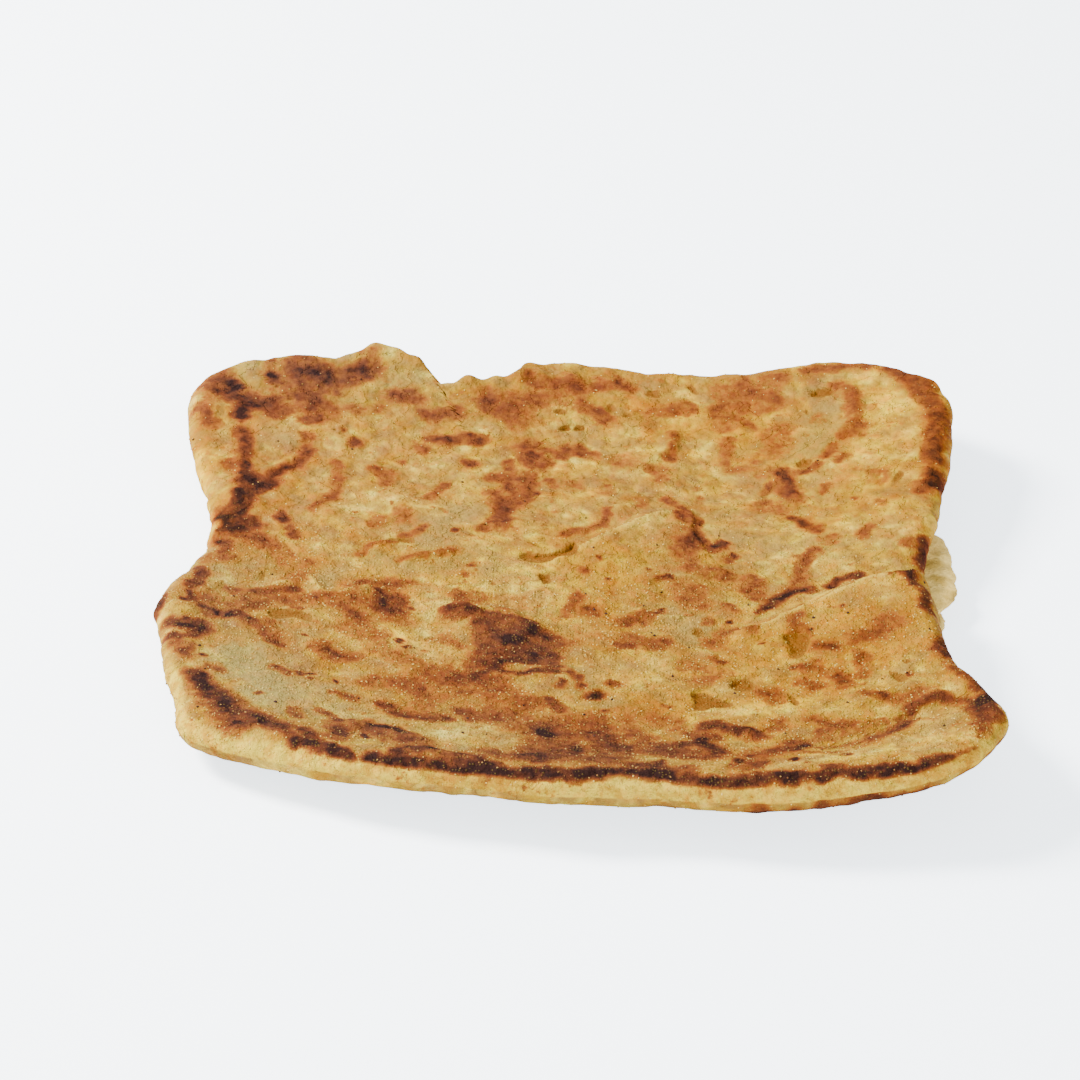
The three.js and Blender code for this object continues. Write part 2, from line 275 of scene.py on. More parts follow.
# Torn blisters, where the top ply burst and a lower one shows: (depth, outline). The far
# side of each is the deep one.
blisters = [
    (2.2, [(-13.5, 10), (-6, 11), (-3, 13), (-0.5, 17), (0.6, 13), (0, 8.5), (-5, 7), (-9, 5.5),
           (-13, 6.5)]),
    (1.8, [(-9.5, 0.5), (-6, 1), (-5.5, -3), (-7.5, -4.5)]),
    (2.0, [(49.5, -25.5), (52, -24.5), (55.5, -25), (56.2, -29), (55.2, -33), (54, -36),
           (51.6, -35.5), (51.2, -32), (50.6, -28.5)]),
    (2.2, [(28, -52.5), (31.5, -51.5), (34, -54), (38.5, -57.5), (34, -59.5), (31, -61.5),
           (28.5, -61), (29, -57)]),
    (2.0, [(37, -47), (38.5, -44.5), (41, -43.8), (43, -46), (43, -49), (40.5, -50.5), (38, -49.5)]),
    (1.2, [(50.5, -52.5), (52, -53.5), (53.5, -57.5), (52.5, -58.5), (51, -55.5)]),
    (1.0, [(41.5, -62.5), (44.3, -62.6), (43.8, -64), (41.8, -63.6)]),
    (1.2, [(77, -41), (79, -41), (79, -43.5), (77.5, -43)]),
    (1.2, [(74, -45), (76, -46), (78.5, -50), (76.5, -51.5), (75, -49)]),
    (1.0, [(-75.4, -8.5), (-74, -8.5), (-74.2, -14.5), (-75.6, -15)]),
    (1.0, [(-84.6, -15), (-83.3, -15), (-83.5, -20), (-84.8, -20)]),
    (1.6, [(-72, -26.5), (-68, -26), (-64, -27), (-61.5, -29), (-61.5, -31.5), (-66, -30.5),
           (-71, -31)]),
    (1.3, [(-46.5, 13.5), (-40, 14.5), (-39, 12), (-45, 10.5)]),
    (2.0, [(57.5, 90), (59, 93), (63, 92.8), (63.4, 89.6), (60, 88.6)]),
    (1.6, [(-8, 80.8), (-6.5, 83), (-4.6, 82.2), (-4.2, 80.6), (-6, 80)]),
    (1.6, [(-6.4, 73.4), (-5, 76), (-3.4, 76), (-3, 74.2), (-4.6, 73)]),
    (1.6, [(-2.4, 74.6), (-1.4, 76.8), (0.4, 76.4), (0.4, 74.6), (-0.8, 73.8)]),
    (1.6, [(5.6, 83.6), (6, 87.2), (7.6, 86.8), (8.6, 84), (7, 82.6)]),
    (1.4, [(9.6, 81.6), (10.4, 84.2), (12.6, 83), (11.8, 80.8)]),
    (1.8, [(15.2, 91.6), (16.8, 94.2), (19, 93.6), (19.4, 90.8), (17.2, 90.8)]),
    (1.6, [(25.8, 97.2), (27.6, 97), (29.6, 93), (28, 92.2)]),
    (1.6, [(53.6, 59), (55.6, 61.2), (58.2, 60.2), (57.2, 57.6), (54.6, 57.4)]),
    (1.1, [(79, 51), (80.4, 50.6), (79, 46.6), (77, 44.4), (77, 46)]),
    (1.0, [(55.6, 84), (56.6, 84.6), (57.4, 81.6), (56.4, 81.6)]),
    (1.3, [(28.6, -21), (30.6, -20.8), (31.4, -23), (30, -24.6), (28.8, -23.4)]),
    (0.9, [(-21, -4), (-19.4, -4), (-18.4, -5.8), (-20.2, -6.2)]),
    (0.9, [(-63, 62.8), (-62.2, 64), (-61.6, 62.8), (-62.2, 62)]),
]


def blister_depths(x, y):
    """How far inside a torn blister each point is (below 0 outside), and how deep it lies."""
    inside_by = np.full(x.shape, -9.0)
    depth = np.zeros(x.shape)
    for deep, outline in blisters:
        ring = closed_curve(outline, 3) if len(outline) > 4 else np.array(outline, float)
        loop = np.vstack([ring, ring[:1]])
        distance = near_path(loop, x, y)[0]
        inside = np.zeros(x.shape, bool)
        for (ax, ay), (bx, by) in zip(loop[:-1], loop[1:]):
            rise = by - ay if abs(by - ay) > 1e-9 else 1e-9
            crosses = (ay > y) != (by > y)
            inside ^= crosses & (x < (bx - ax) * (y - ay) / rise + ax)
        signed = np.where(inside, distance, -distance)
        low, high = ring[:, 1].min(), ring[:, 1].max()
        far = np.clip((y - low) / (high - low), 0, 1)
        here = 0.6 * deep * eased(-0.1, 0.7, signed) * (0.35 + 0.65 * eased(0, 0.8, far))
        inside_by = np.maximum(inside_by, signed)
        depth = np.maximum(depth, here)
    return inside_by, depth


def torn_edge_places(x, y):
    """For every torn edge: its height and fade, how much of it is there, and how far past it."""
    bent_x = x + 1.0 * soft_noise(x, y, 6, 11) + 0.4 * soft_noise(x, y, 2.2, 13)
    bent_y = y + 1.0 * soft_noise(x, y, 6, 12) + 0.4 * soft_noise(x, y, 2.2, 14)
    for height, fade, path in torn_edges:
        distance, side, share = near_path(path, bent_x, bent_y)
        yield height, fade, tapered(share, (0.15, 0.15)), distance * side


def top_relief(x, y):
    """Height that plies, folds, wrinkles, puffs and small lumps add to the top face."""
    z = np.zeros(x.shape)
    for height, slope, drop, taper, path in ply_edges:
        distance, side, share = near_path(path, x, y)
        z += height * tapered(share, taper) * bell(distance, np.where(side > 0, slope, drop))
    for height, half_width, path in folds:
        distance, side, share = near_path(path, x, y)
        z += height * tapered(share, (0.2, 0.2)) * bell(distance, half_width)
    bent_x = x + 1.2 * soft_noise(x, y, 7, 11)
    bent_y = y + 1.2 * soft_noise(x, y, 7, 12)
    for height, half_width, path in wrinkles:
        distance, side, share = near_path(path, bent_x, bent_y)
        z += height * tapered(share, (0.25, 0.25)) * bell(distance, half_width)
    for height, radius, centre_x, centre_y in puffs + back_lumps:
        z += height * bell(np.hypot(x - centre_x, y - centre_y), radius)
    for height, fade, present, past in torn_edge_places(x, y):
        z += height * present * eased(-0.35, 0.45, past) * np.exp(-np.maximum(past, 0) / fade)
    z += 0.22 * soft_noise(x * 0.4, y, 4.5, 23)
    return z


def bread_faces(x, y):
    """Heights of the bread's two faces, and how far each point lies inside the rim."""
    angle = np.arctan2(y, x)
    distance = np.hypot(x, y)
    rim = bread_outline(angle)[0] + rim_wander(angle)
    inset = np.maximum(rim - distance, 0)
    radius, lift = bowl_rim(angle)
    curl = np.maximum((distance / radius - rest_share) / (1 - rest_share), 0)
    under = lift * curl ** dish_power
    equator = under + equator_share * dough_thickness
    top = under + dough_thickness + top_relief(x, y) - blister_depths(x, y)[1]
    rough = eased(0, 12, under) + 0.15
    under = under + rough * (0.35 * soft_noise(x, y, 9, 31) + 0.15 * soft_noise(x, y, 3, 32))
    under = np.maximum(under, 0)
    over = np.sqrt(1 - (1 - np.minimum(inset / top_nose, 1)) ** 2)
    below = np.sqrt(1 - (1 - np.minimum(inset / underside_nose, 1)) ** 2)
    return equator + (top - equator) * over, equator - (equator - under) * below, inset


# ---- the mesh: square grids laid over the outline ring by ring ----
panel_rings = 110
nose_rings = 18
nose_share = 0.068
coarse_step = 2  # the underside's inner rings are this much wider
even_spread = range(-16, 17, 2)  # degrees over which the inner rings even out the rim


def ring_shares():
    flat = 1 - nose_share
    panel = [flat * i / panel_rings for i in range(panel_rings + 1)]
    nose = [flat + nose_share * math.sin(math.pi / 2 * i / nose_rings)
            for i in range(1, nose_rings + 1)]
    return np.array(panel + nose)


def grid_points(shares, step):
    """Plan positions of a square grid of rings; step skips rings of the full grid."""
    rings = (len(shares) - 1) // step
    index = np.arange(-rings, rings + 1) * step
    column, row = np.meshgrid(index, index)
    ring = np.maximum(np.abs(column), np.abs(row))
    angle = np.arctan2(row, column)
    share = shares[ring]
    rim = bread_outline(angle)[0]
    even = np.mean([bread_outline(angle + math.radians(turn))[0] for turn in even_spread], axis=0)
    reach = (even + (rim - even) * eased(0.55, 1, share)) * share
    reach += rim_wander(angle) * eased(0.8, 1, share)
    return column, row, reach * np.cos(angle), reach * np.sin(angle)


def grid_cells(side):
    """Corner numbers and the splitting direction of every cell of a square grid."""
    column, row = np.meshgrid(np.arange(side - 1), np.arange(side - 1))
    a = (row * side + column).ravel()
    half = (side - 1) / 2
    rising = ((column + 0.5 - half) * (row + 0.5 - half) > 0).ravel()
    b, c, d = a + 1, a + side + 1, a + side
    first = np.where(rising[:, None], np.stack([a, b, d], 1), np.stack([a, b, c], 1))
    second = np.where(rising[:, None], np.stack([b, c, d], 1), np.stack([a, c, d], 1))
    ring = np.maximum(np.abs(column + 0.5 - half), np.abs(row + 0.5 - half)).ravel() + 0.5
    return first, second, ring


def without_spares(corners, faces):
    """The corners that faces use, the faces with their new numbers, and the old numbers."""
    used = np.unique(faces)
    renumber = np.zeros(len(corners), int)
    renumber[used] = np.arange(len(used))
    return corners[used], renumber[faces], used


def bread_geometry():
    """Corners, triangles, and each corner's plan position, inset and face of the bread."""
    shares = ring_shares()
    rings = len(shares) - 1
    side = 2 * rings + 1
    column, row, x, y = grid_points(shares, 1)
    top, under, inset = bread_faces(x.ravel(), y.ravel())
    plan = np.stack([x.ravel(), y.ravel()], 1)
    first, second, ring = grid_cells(side)
    top_faces = np.concatenate([first, second])
    number = len(plan)
    # The underside keeps the full grid only over its outer rings.
    fine_from = rings - nose_rings
    keep = ring > fine_from
    fine = np.concatenate([first[keep], second[keep]])[:, ::-1] + number
    faces = [top_faces, fine]
    corners = [np.column_stack([plan, top]), np.column_stack([plan, under])]
    # Inside them, cells of twice the size, joined by a band of fans.
    coarse_side = fine_from // coarse_step * 2 + 1
    index = (np.arange(coarse_side) - coarse_side // 2) * coarse_step + rings
    cells = np.arange(coarse_side - 1)
    for j in cells:
        for i in cells:
            c0, c1, r0, r1 = index[i], index[i + 1], index[j], index[j + 1]
            a, b, c, d = (number + r * side + k for r, k in ((r0, c0), (r0, c1), (r1, c1), (r1, c0)))
            edge = [a, b, c, d]
            outer = []
            if j == cells[0]:
                outer.append((0, number + r0 * side + (c0 + c1) // 2))
            if i == cells[-1]:
                outer.append((1, number + (r0 + r1) // 2 * side + c1))
            if j == cells[-1]:
                outer.append((2, number + r1 * side + (c0 + c1) // 2))
            if i == cells[0]:
                outer.append((3, number + (r0 + r1) // 2 * side + c0))
            if outer:
                loop = []
                extra = dict(outer)
                for k in range(4):
                    loop.append(edge[k])
                    if k in extra:
                        loop.append(extra[k])
                hub = number + (r0 + r1) // 2 * side + (c0 + c1) // 2
                fan = [(hub, loop[(k + 1) % len(loop)], loop[k]) for k in range(len(loop))]
                faces.append(np.array(fan))
            else:
                rising = (i + 0.5 - len(cells) / 2) * (j + 0.5 - len(cells) / 2) > 0
                pair = [(a, d, b), (b, d, c)] if rising else [(a, c, b), (a, d, c)]
                faces.append(np.array(pair))
    # The two faces share their rim.
    on_rim = (np.maximum(np.abs(column), np.abs(row)) == rings).ravel()
    same = np.arange(2 * number)
    same[number:][on_rim] = np.arange(number)[on_rim]
    corners, faces, used = without_spares(np.concatenate(corners), same[np.concatenate(faces)])
    return corners, faces, np.concatenate([inset, inset])[used], used < number


def vertex_normals(points, faces):
    a, b, c = (points[faces[:, k]] for k in range(3))
    across = np.cross(b - a, c - a)
    normals = np.zeros(points.shape)
    for k in range(3):
        np.add.at(normals, faces[:, k], across)
    return normals / np.linalg.norm(normals, axis=1)[:, None]


# Lumps in the dough, from broad waves to coarse crumbs: (height, size).
dough_lumps = [(0.34, 15), (0.26, 8), (0.21, 4.2), (0.16, 2.3), (0.07, 1.3)]


def kneaded(points, faces, lumps):
    """The corners pushed in and out along their normals by lumps of (height, size)."""
    push = sum(height * solid_noise(points, size, 20 + k)
               for k, (height, size) in enumerate(lumps))
    loose = eased(0.1, 1.6, points[:, 2])  # none where the bread rests
    moved = points + vertex_normals(points, faces) * (push * loose)[:, None]
    moved[:, 2] = np.maximum(moved[:, 2], 0)
    return moved


corners, triangles, inset, upper = bread_geometry()
flat_corners = corners
corners = kneaded(corners, triangles, dough_lumps)


def build_mesh(name, points, faces):
    """A smooth mesh from points in millimetres."""
    mesh = bpy.data.meshes.new(name)
    mesh.from_pydata((points * MM).tolist(), [], faces.tolist())
    mesh.polygons.foreach_set("use_smooth", [True] * len(faces))
    mesh.update()
    return mesh


def added(name, data):
    """A new object of the scene."""
    obj = bpy.data.objects.new(name, data)
    bpy.context.collection.objects.link(obj)
    return obj


bread = added("bread", build_mesh("bread", corners, triangles))

# ==== The bread's browning ====
# What the pan did to the crust: the high spots of each ply are scorched from orange brown to
# black, the thin places stay grey and glassy, and the puffed side walls stay pale.
# Marks are kept by tone, from 0, raw, to 1, black, and each is (half width, path).
# It also paints light: highlights on torn lips, shade at their foot and in blisters, a tint on
# shaded faces.
BLACK, DARK, BROWN, RUST, ORANGE, TOAST = 1.0, 0.78, 0.60, 0.46, 0.37, 0.28
front_left_marks = {
    BLACK: [(1.5, (-92, -38.5), (-90, -39)), (0.6, (-85.4, -52)),
        (2.6, (-85.5, -62), (-84, -66), (-83, -69)), (1.1, (-79, -75), (-77, -79)),
        (0.9, (-70, -82.5), (-67.5, -85)),
        (1.4, (-61, -94), (-58, -95.2), (-55, -97), (-51, -98.9), (-48, -100.1)),
        (2.1, (-43.5, -100.6), (-40, -101.5), (-37, -102)), (1.8, (-36, -102.3), (-32.4, -102.8)),
        (1.5, (-43, -81), (-39, -82), (-38, -84)), (1.1, (-45.5, -87), (-45, -89)),
        (0.6, (-60, -55.5)), (0.6, (-60, -58.5)), (0.6, (-54, -59)), (0.5, (-71, -69)),
        (0.6, (-38.5, -39)), (0.6, (-40.5, -36.5))],
    DARK: [(2.6, (-93, -37), (-88, -37), (-86, -40), (-88, -42)), (1.2, (-94, -42.5), (-90, -44)),
        (3.4, (-86, -62), (-84, -66), (-82.5, -70)),
        (3.2, (-80.5, -72), (-78, -77), (-75, -82), (-73, -86)),
        (2.6, (-75, -80), (-71, -82), (-67, -85), (-64, -88)), (1.2, (-59.5, -89), (-57.5, -92)),
        (1.8, (-52, -85), (-51, -87.5)), (0.9, (-53, -78), (-51, -80)), (0.8, (-49, -78.5)),
        (1.8, (-35, -96), (-31, -95.5)), (0.9, (-38.5, -98.8), (-36, -99.6)), (0.9, (-68.5, -53.2)),
        (0.7, (-63, -55), (-62, -57)), (0.9, (-34, -58.5)), (1.3, (-44, -67.5), (-41.5, -68)),
        (1.2, (-40, -71.5), (-37, -73))],
    BROWN: [(1.2, (-90, -50.5), (-88.5, -53)), (4, (-77, -76), (-71, -83), (-65, -87)),
        (2.2, (-66, -88), (-62, -91), (-57, -94)), (2.4, (-59, -87), (-57, -90), (-58, -92)),
        (3.2, (-46, -81), (-42, -84), (-38, -86), (-36, -89)), (2.6, (-37, -98.5), (-33, -97)),
        (1.5, (-69, -53), (-67, -54.5)), (1.6, (-71, -41.5), (-67.5, -43)),
        (1.2, (-58, -44), (-54, -45.5))],
    RUST: [(2, (-91, -46), (-89, -50), (-88.5, -53)), (1.3, (-84, -57.5), (-81, -58)),
        (3.4, (-81.5, -76), (-78, -81), (-75, -86)), (3.2, (-52, -82), (-51, -86), (-52, -91)),
        (1.5, (-62, -76), (-61.5, -79)), (1.3, (-57, -74), (-54, -77), (-52, -80)),
        (4, (-40, -88), (-33, -92)), (1, (-67, -55), (-65, -57)), (2, (-73, -37), (-71, -40)),
        (2.8, (-58, -42), (-56, -45), (-51, -46)), (3, (-45, -57), (-40, -56), (-35, -60)),
        (1.5, (-53, -65), (-49, -66)), (3, (-41, -69), (-37, -72), (-31, -74))],
    TOAST: [(3.2, (-44, -41), (-38, -46), (-34, -50), (-30, -52)),
        (3.5, (-38, -55), (-31, -60), (-33, -66))],
}
front_middle_marks = {
    BLACK: [(1.2, (-17, -45), (-14.5, -43)), (1, (-9.5, -38), (-9, -40)), (1.6, (5.5, -56.5)),
        (1.4, (-6.5, -75), (-4, -78)), (0.8, (-31, -95), (-29, -95.8)),
        (1.7, (-29, -104), (-26.5, -104.7), (-22, -105.1)),
        (2.4, (-21, -104.4), (-15.5, -105), (-8.6, -104.6), (-2, -103.6)),
        (1.9, (-2, -103.5), (2, -103), (7, -102)), (1, (9.5, -101), (12.5, -100.3)),
        (1.7, (15, -100.6), (20, -101.4), (24, -102)), (1.5, (30.5, -79), (32, -82), (33.5, -84))],
    DARK: [(2.2, (-18.5, -46), (-14.5, -42.5), (-12, -41.5)), (1.5, (-23, -50.5), (-19.5, -48)),
        (1.4, (-8.7, -40.5)), (1, (-16, -47.5), (-12, -48), (-8, -47), (-3, -46.5)),
        (1, (-1.5, -51), (-2, -53)), (0.8, (2.3, -48)), (1, (-28, -72.5), (-27, -73.2)),
        (1, (-35, -72), (-33, -74)), (2.6, (-7, -73), (-4, -76), (-4, -79)),
        (2, (7, -75), (8.5, -77)), (2.8, (9, -80), (12, -84)),
        (1.6, (-9, -93), (-9, -97), (-5, -93), (-6, -98)), (1.2, (2, -85), (3, -90)),
        (1, (-31, -95.5), (-25, -96.5), (-21, -98)), (1.4, (-24, -101.5), (-20, -101.5)),
        (1.8, (22, -101.5), (28, -103), (36, -104.6)), (2.4, (20, -97), (21, -100)),
        (0.9, (21.5, -93.5), (21.5, -95.5)),
        (2.4, (22, -83), (26, -82), (30, -80), (33, -83), (34, -85)),
        (1.5, (32, -71), (35, -69.5), (37, -72), (39.5, -73.5), (42.5, -72.5), (44, -75)),
        (0.6, (8.5, -63.5)), (0.7, (19, -80)), (0.5, (22.2, -59.3)), (0.5, (23.4, -59.8))],
    BROWN: [(3.4, (-20, -43), (-14, -42), (-8, -41)), (2.4, (-4, -38), (-4, -42)),
        (1, (-6, -45), (-2, -43)), (1.4, (-20, -50), (-17, -51.5)), (1.6, (-26, -51), (-22, -52)),
        (1.8, (-17, -56.5)), (1.6, (-4.5, -60), (-2, -64)), (1.2, (0, -46), (2, -49), (3, -53)),
        (2.6, (-24, -67), (-21, -69.5)), (3.8, (-16, -93), (-13, -96)), (2.6, (2, -84), (3, -92)),
        (1.4, (-26, -99), (-20, -100)), (1.8, (-35, -102.5), (-10, -103.5), (8, -101.8)),
        (3, (16, -98), (22, -100), (27, -100)), (3.6, (20, -84), (25, -86), (29, -88), (33, -87)),
        (3, (29, -75), (32, -77))],
    RUST: [(2.8, (-22, -47), (-25, -51)), (4, (-30, -50), (-24, -53), (-17, -53)),
        (3, (-28, -54), (-24, -58)), (2.5, (-10, -61), (-7.5, -62)), (2.4, (5.5, -56.5)),
        (1.3, (9, -49.5), (11, -50.5)), (5, (-16, -68), (-12, -71)), (3.6, (-35, -71), (-30, -73)),
        (3, (-28, -98), (-20, -98)), (2.5, (32, -71), (37, -72), (44, -75)),
        (3, (15, -72), (17, -78), (16, -84))],
    ORANGE: [(5, (0, -70), (5, -70))],
    TOAST: [(6, (-34, -58), (-22, -60), (-16, -58)), (4, (14, -66), (20, -66), (24, -70)),
        (3, (28, -38), (34, -42), (30, -46))],
    0.56: [(4.5, (-6, -94), (2, -95), (10, -94))],
    0.54: [(6.5, (-4, -75), (-2, -80), (-4, -88), (-6, -94)),
        (5.5, (7, -74), (8, -78), (10, -84), (10, -90)),
        (4.4, (-8, -90), (-6, -96), (-1, -92), (2, -88))],
}
front_right_marks = {
    BLACK: [(0.6, (51.7, -39.7)), (2.3, (94, -64), (95.5, -65.5), (95, -67)),
        (1, (96, -57), (97, -59.5)), (0.7, (54.3, -80)), (0.8, (38.7, -90.5), (39, -93)),
        (0.8, (51.5, -89), (51, -91)), (0.5, (41, -93)), (2, (47, -101.8), (53, -101.5)),
        (1.4, (56.5, -100.5), (59, -99.8)), (1.2, (61, -99.4), (65, -98.8)),
        (2.1, (70.5, -98), (74, -97), (80, -96.6))],
    DARK: [(0.8, (78.5, -48)), (2.3, (86, -37), (87.5, -40)), (0.6, (71, -56.6), (73, -58)),
        (3, (93, -66), (94, -70), (95.5, -73)), (2, (96.5, -58), (97.5, -63)),
        (1, (76.5, -70), (74, -73.5)), (1.2, (54, -79.5), (52, -82.5)), (1.4, (44, -93), (43, -96)),
        (0.6, (37, -94.5)), (0.6, (54, -94.5)), (0.6, (41.5, -87.5)),
        (1.5, (33, -104), (38, -104.5), (44, -103)), (1.1, (55, -101), (60, -99.5)),
        (1.2, (58, -97.8), (61, -97.5)), (1.4, (62, -99.3), (67, -98.5)),
        (1.8, (79, -96.5), (84, -95)), (1.4, (84, -94), (90, -90.3))],
    BROWN: [(2, (62, -44), (63.2, -47.5)), (1.7, (58.5, -31.5), (61, -32)),
        (1.6, (90, -52), (93, -56), (94, -59)),
        (1.3, (78, -65), (80, -62), (84, -60.5), (89, -62), (92, -64)),
        (2, (77, -69), (75, -73), (70, -75.5)), (2.8, (53, -79), (50, -82), (46, -85)),
        (2.2, (38, -103), (44, -101.5)), (1.5, (70, -97), (82, -94.8), (92, -88.5))],
    RUST: [(2.6, (61, -42), (63, -46), (64, -50)), (2, (55, -47), (57, -49)),
        (2, (54, -40), (57, -41)), (1.6, (67.4, -37), (68, -40)), (2.6, (58.5, -31.5), (61, -32)),
        (1.4, (69, -29), (72, -28)), (1.2, (45, -50.5), (48, -52)),
        (1.4, (51.5, -19.5), (53.5, -18)), (1.6, (88.5, -45), (88.8, -49)),
        (1.3, (68, -55.5), (71, -57), (74, -59)), (2.2, (94, -77), (93, -80)),
        (2.8, (48, -67), (48.5, -70)), (2, (56, -66), (60, -69), (65, -69)),
        (1.5, (58, -73), (62, -71)), (3.2, (42, -87), (41, -92), (40, -97)),
        (0.9, (63, -85.5), (63, -88))],
    ORANGE: [(2.6, (47, -51), (48, -54)), (1.4, (68.5, -43), (69, -46)),
        (2.8, (67, -29.5), (72, -27), (76, -25)), (3, (43, -49), (47, -52)),
        (2.4, (53, -22), (55, -26)), (0.7, (50, -83), (60, -79), (70, -75))],
    TOAST: [(2.5, (75, -60), (82, -58)), (3, (70, -75.5)), (1, (48, -80), (60, -75), (72, -68)),
        (0.8, (52, -86), (66, -80), (78, -72))],
}
left_middle_marks = {
    BLACK: [(1.4, (-84, 28), (-83, 24)), (1.4, (-87, 18), (-85, 14), (-84, 12)), (1.2, (-78, 14.5)),
        (0.8, (-86.5, 5.5)), (0.7, (-92.3, -26)), (0.7, (-83.7, -31.5)), (0.7, (-80.7, -32)),
        (0.7, (-76, -33.2)), (0.8, (-46, -17.5), (-45.5, -20)), (0.6, (-38.5, -20.5)),
        (0.6, (-40.3, -36)), (0.5, (-38.5, -39))],
    DARK: [(2.6, (-82, 36), (-81.5, 30), (-82, 25), (-83, 20), (-84.5, 15), (-85, 11)),
        (1.8, (-76, 35), (-79, 31)), (3.2, (-86, 19), (-82, 18), (-79, 15), (-83, 12)),
        (1.8, (-73, 21), (-72, 18)), (1.6, (-90, -10), (-89, -14), (-90, -18), (-91, -20)),
        (1.3, (-91, -23), (-90, -26)), (1.4, (-98.3, -23), (-98, -29)),
        (1, (-88, -28.5), (-84, -30.5)), (1.3, (-91, -35), (-89, -37)),
        (2.6, (-46, -15), (-45.5, -19), (-45, -22)), (0.6, (-61.5, -21)), (0.6, (-63, -38))],
    BROWN: [(3, (-82, 9), (-78, 8), (-75, 5.5)), (1.4, (-85.5, 5), (-85, -1)),
        (1.2, (-70.5, 15), (-69.5, 13), (-68.5, 10)), (0.8, (-30, 8.5)),
        (1.1, (-76, -20), (-73, -19.5), (-69, -18), (-66, -17)),
        (2, (-89, -28), (-84, -30), (-78, -31), (-75, -35)), (2.2, (-42, -22), (-41, -16)),
        (1.1, (-54, -23), (-51, -27))],
    RUST: [(2.2, (-86, 8), (-84.5, -4)), (1.3, (-62.5, 31), (-63.5, 28), (-65, 24)),
        (1, (-37.5, 20), (-40, 16), (-43, 15)), (0.9, (-52, 4), (-50, 8), (-47, 10), (-44, 10)),
        (1.4, (-70.5, -26.5)), (1.4, (-66, -25.5)), (1.8, (-82, -19.5), (-79, -22)),
        (2.2, (-86, -31), (-79, -31)), (2.3, (-53, -13), (-48, -10), (-42, -9)),
        (4.2, (-50, -20), (-42, -24)), (1.6, (-39, -8)),
        (2.4, (-58, -21), (-55, -22), (-52, -26), (-49, -29))],
    ORANGE: [(1.6, (-42, 2), (-38, 4), (-33, 7), (-29, 9.5)),
        (1.6, (-73, -33), (-70, -37), (-68, -41))],
    TOAST: [(3, (-75, 5.5), (-70, -1)), (2.5, (-43, 28), (-43, 23)), (2, (-49, 24), (-49, 20)),
        (4, (-52, -32), (-47, -34)), (3, (-66, -3), (-66, -12)), (3, (-88, -5))],
    0.43: [(3.4, (-90, -24), (-82, -27), (-74, -24))],
    0.40: [(2.4, (-72, -23), (-60, -21))],
}
centre_marks = {
    BLACK: [(0.5, (21, -13.3)), (0.6, (37.5, -17.3)), (1.6, (-14.5, -33.5), (-12, -34)),
        (1.7, (-9.2, -28.8))],
    DARK: [(0.5, (-25.2, 3)), (0.5, (-30, 19.5)), (0.5, (5.7, 7.3)), (0.5, (8, -1)),
        (0.5, (17.7, 5)), (0.9, (3.5, -15)), (2.6, (-15, -33.5), (-12, -33)),
        (2.8, (-9.5, -29), (-8, -28.5)), (2.4, (-12, -37), (-9, -38)), (1.8, (-5.5, -31.5)),
        (1.6, (-23, -26.5), (-20, -28)), (0.8, (13.5, -21.5)), (0.7, (17, -20.5)), (0.6, (20, -15)),
        (1.3, (28.5, 22.5), (27.5, 19)), (1.1, (34, 20), (36, 21.5)), (0.9, (35.5, -36))],
    BROWN: [(2.6, (-19, 35), (-18, 31), (-19, 27), (-20, 24)),
        (1.4, (-31, -22), (-27, -21.3), (-24, -23)), (1.2, (-31, -21), (-25.5, -20.6)),
        (1.2, (-15, -23.8), (-11, -25.5)), (2.6, (-29, -23), (-23, -24), (-16, -26), (-10, -27)),
        (5.2, (-16, -30), (-9, -31), (-5, -33)), (4.6, (-19, -38), (-13, -38), (-6, -37)),
        (3.4, (-21.5, -28), (-20, -36), (-20, -43)), (1.6, (12, -31), (14, -31.5)),
        (3, (29, 24), (27.5, 20), (26, 17)), (0.7, (20, 0.5), (23, 1.7))],
    RUST: [(1.6, (-22, 24), (-23.5, 21.5)),
        (1.2, (-3, 21.5), (-1, 23), (3, 24.5), (6, 27), (7, 31), (7, 35)), (1, (-26.5, -2)),
        (1.3, (2, 2.5)), (1, (0.7, -9)), (1.5, (1, -10), (-1, -15), (-3, -20)),
        (1.8, (4, -15), (6, -17)), (2, (-28, -12), (-27, -16)), (1.6, (-17, -19.5)),
        (1.6, (-30, -34), (-27, -37)), (2.2, (14, -28), (18, -30), (22, -29)),
        (2, (12, -21), (16, -19), (20, -15)), (2, (29, 30), (28, 12), (28, 6)),
        (2, (25, 34), (27, 31.5)), (2, (33, 18.5), (35.5, 21)), (1.4, (34, -34.5)),
        (1.4, (32, -18))],
    ORANGE: [(3, (4, -16)), (2.4, (28, 6), (32, 5), (37, 5)), (4.2, (27, -3), (28, -9))],
    TOAST: [(4, (-24, -14)), (3, (33, -27), (37, -22))],
    0.70: [(1, (-25, -21.6), (-15, -23.8))],
}
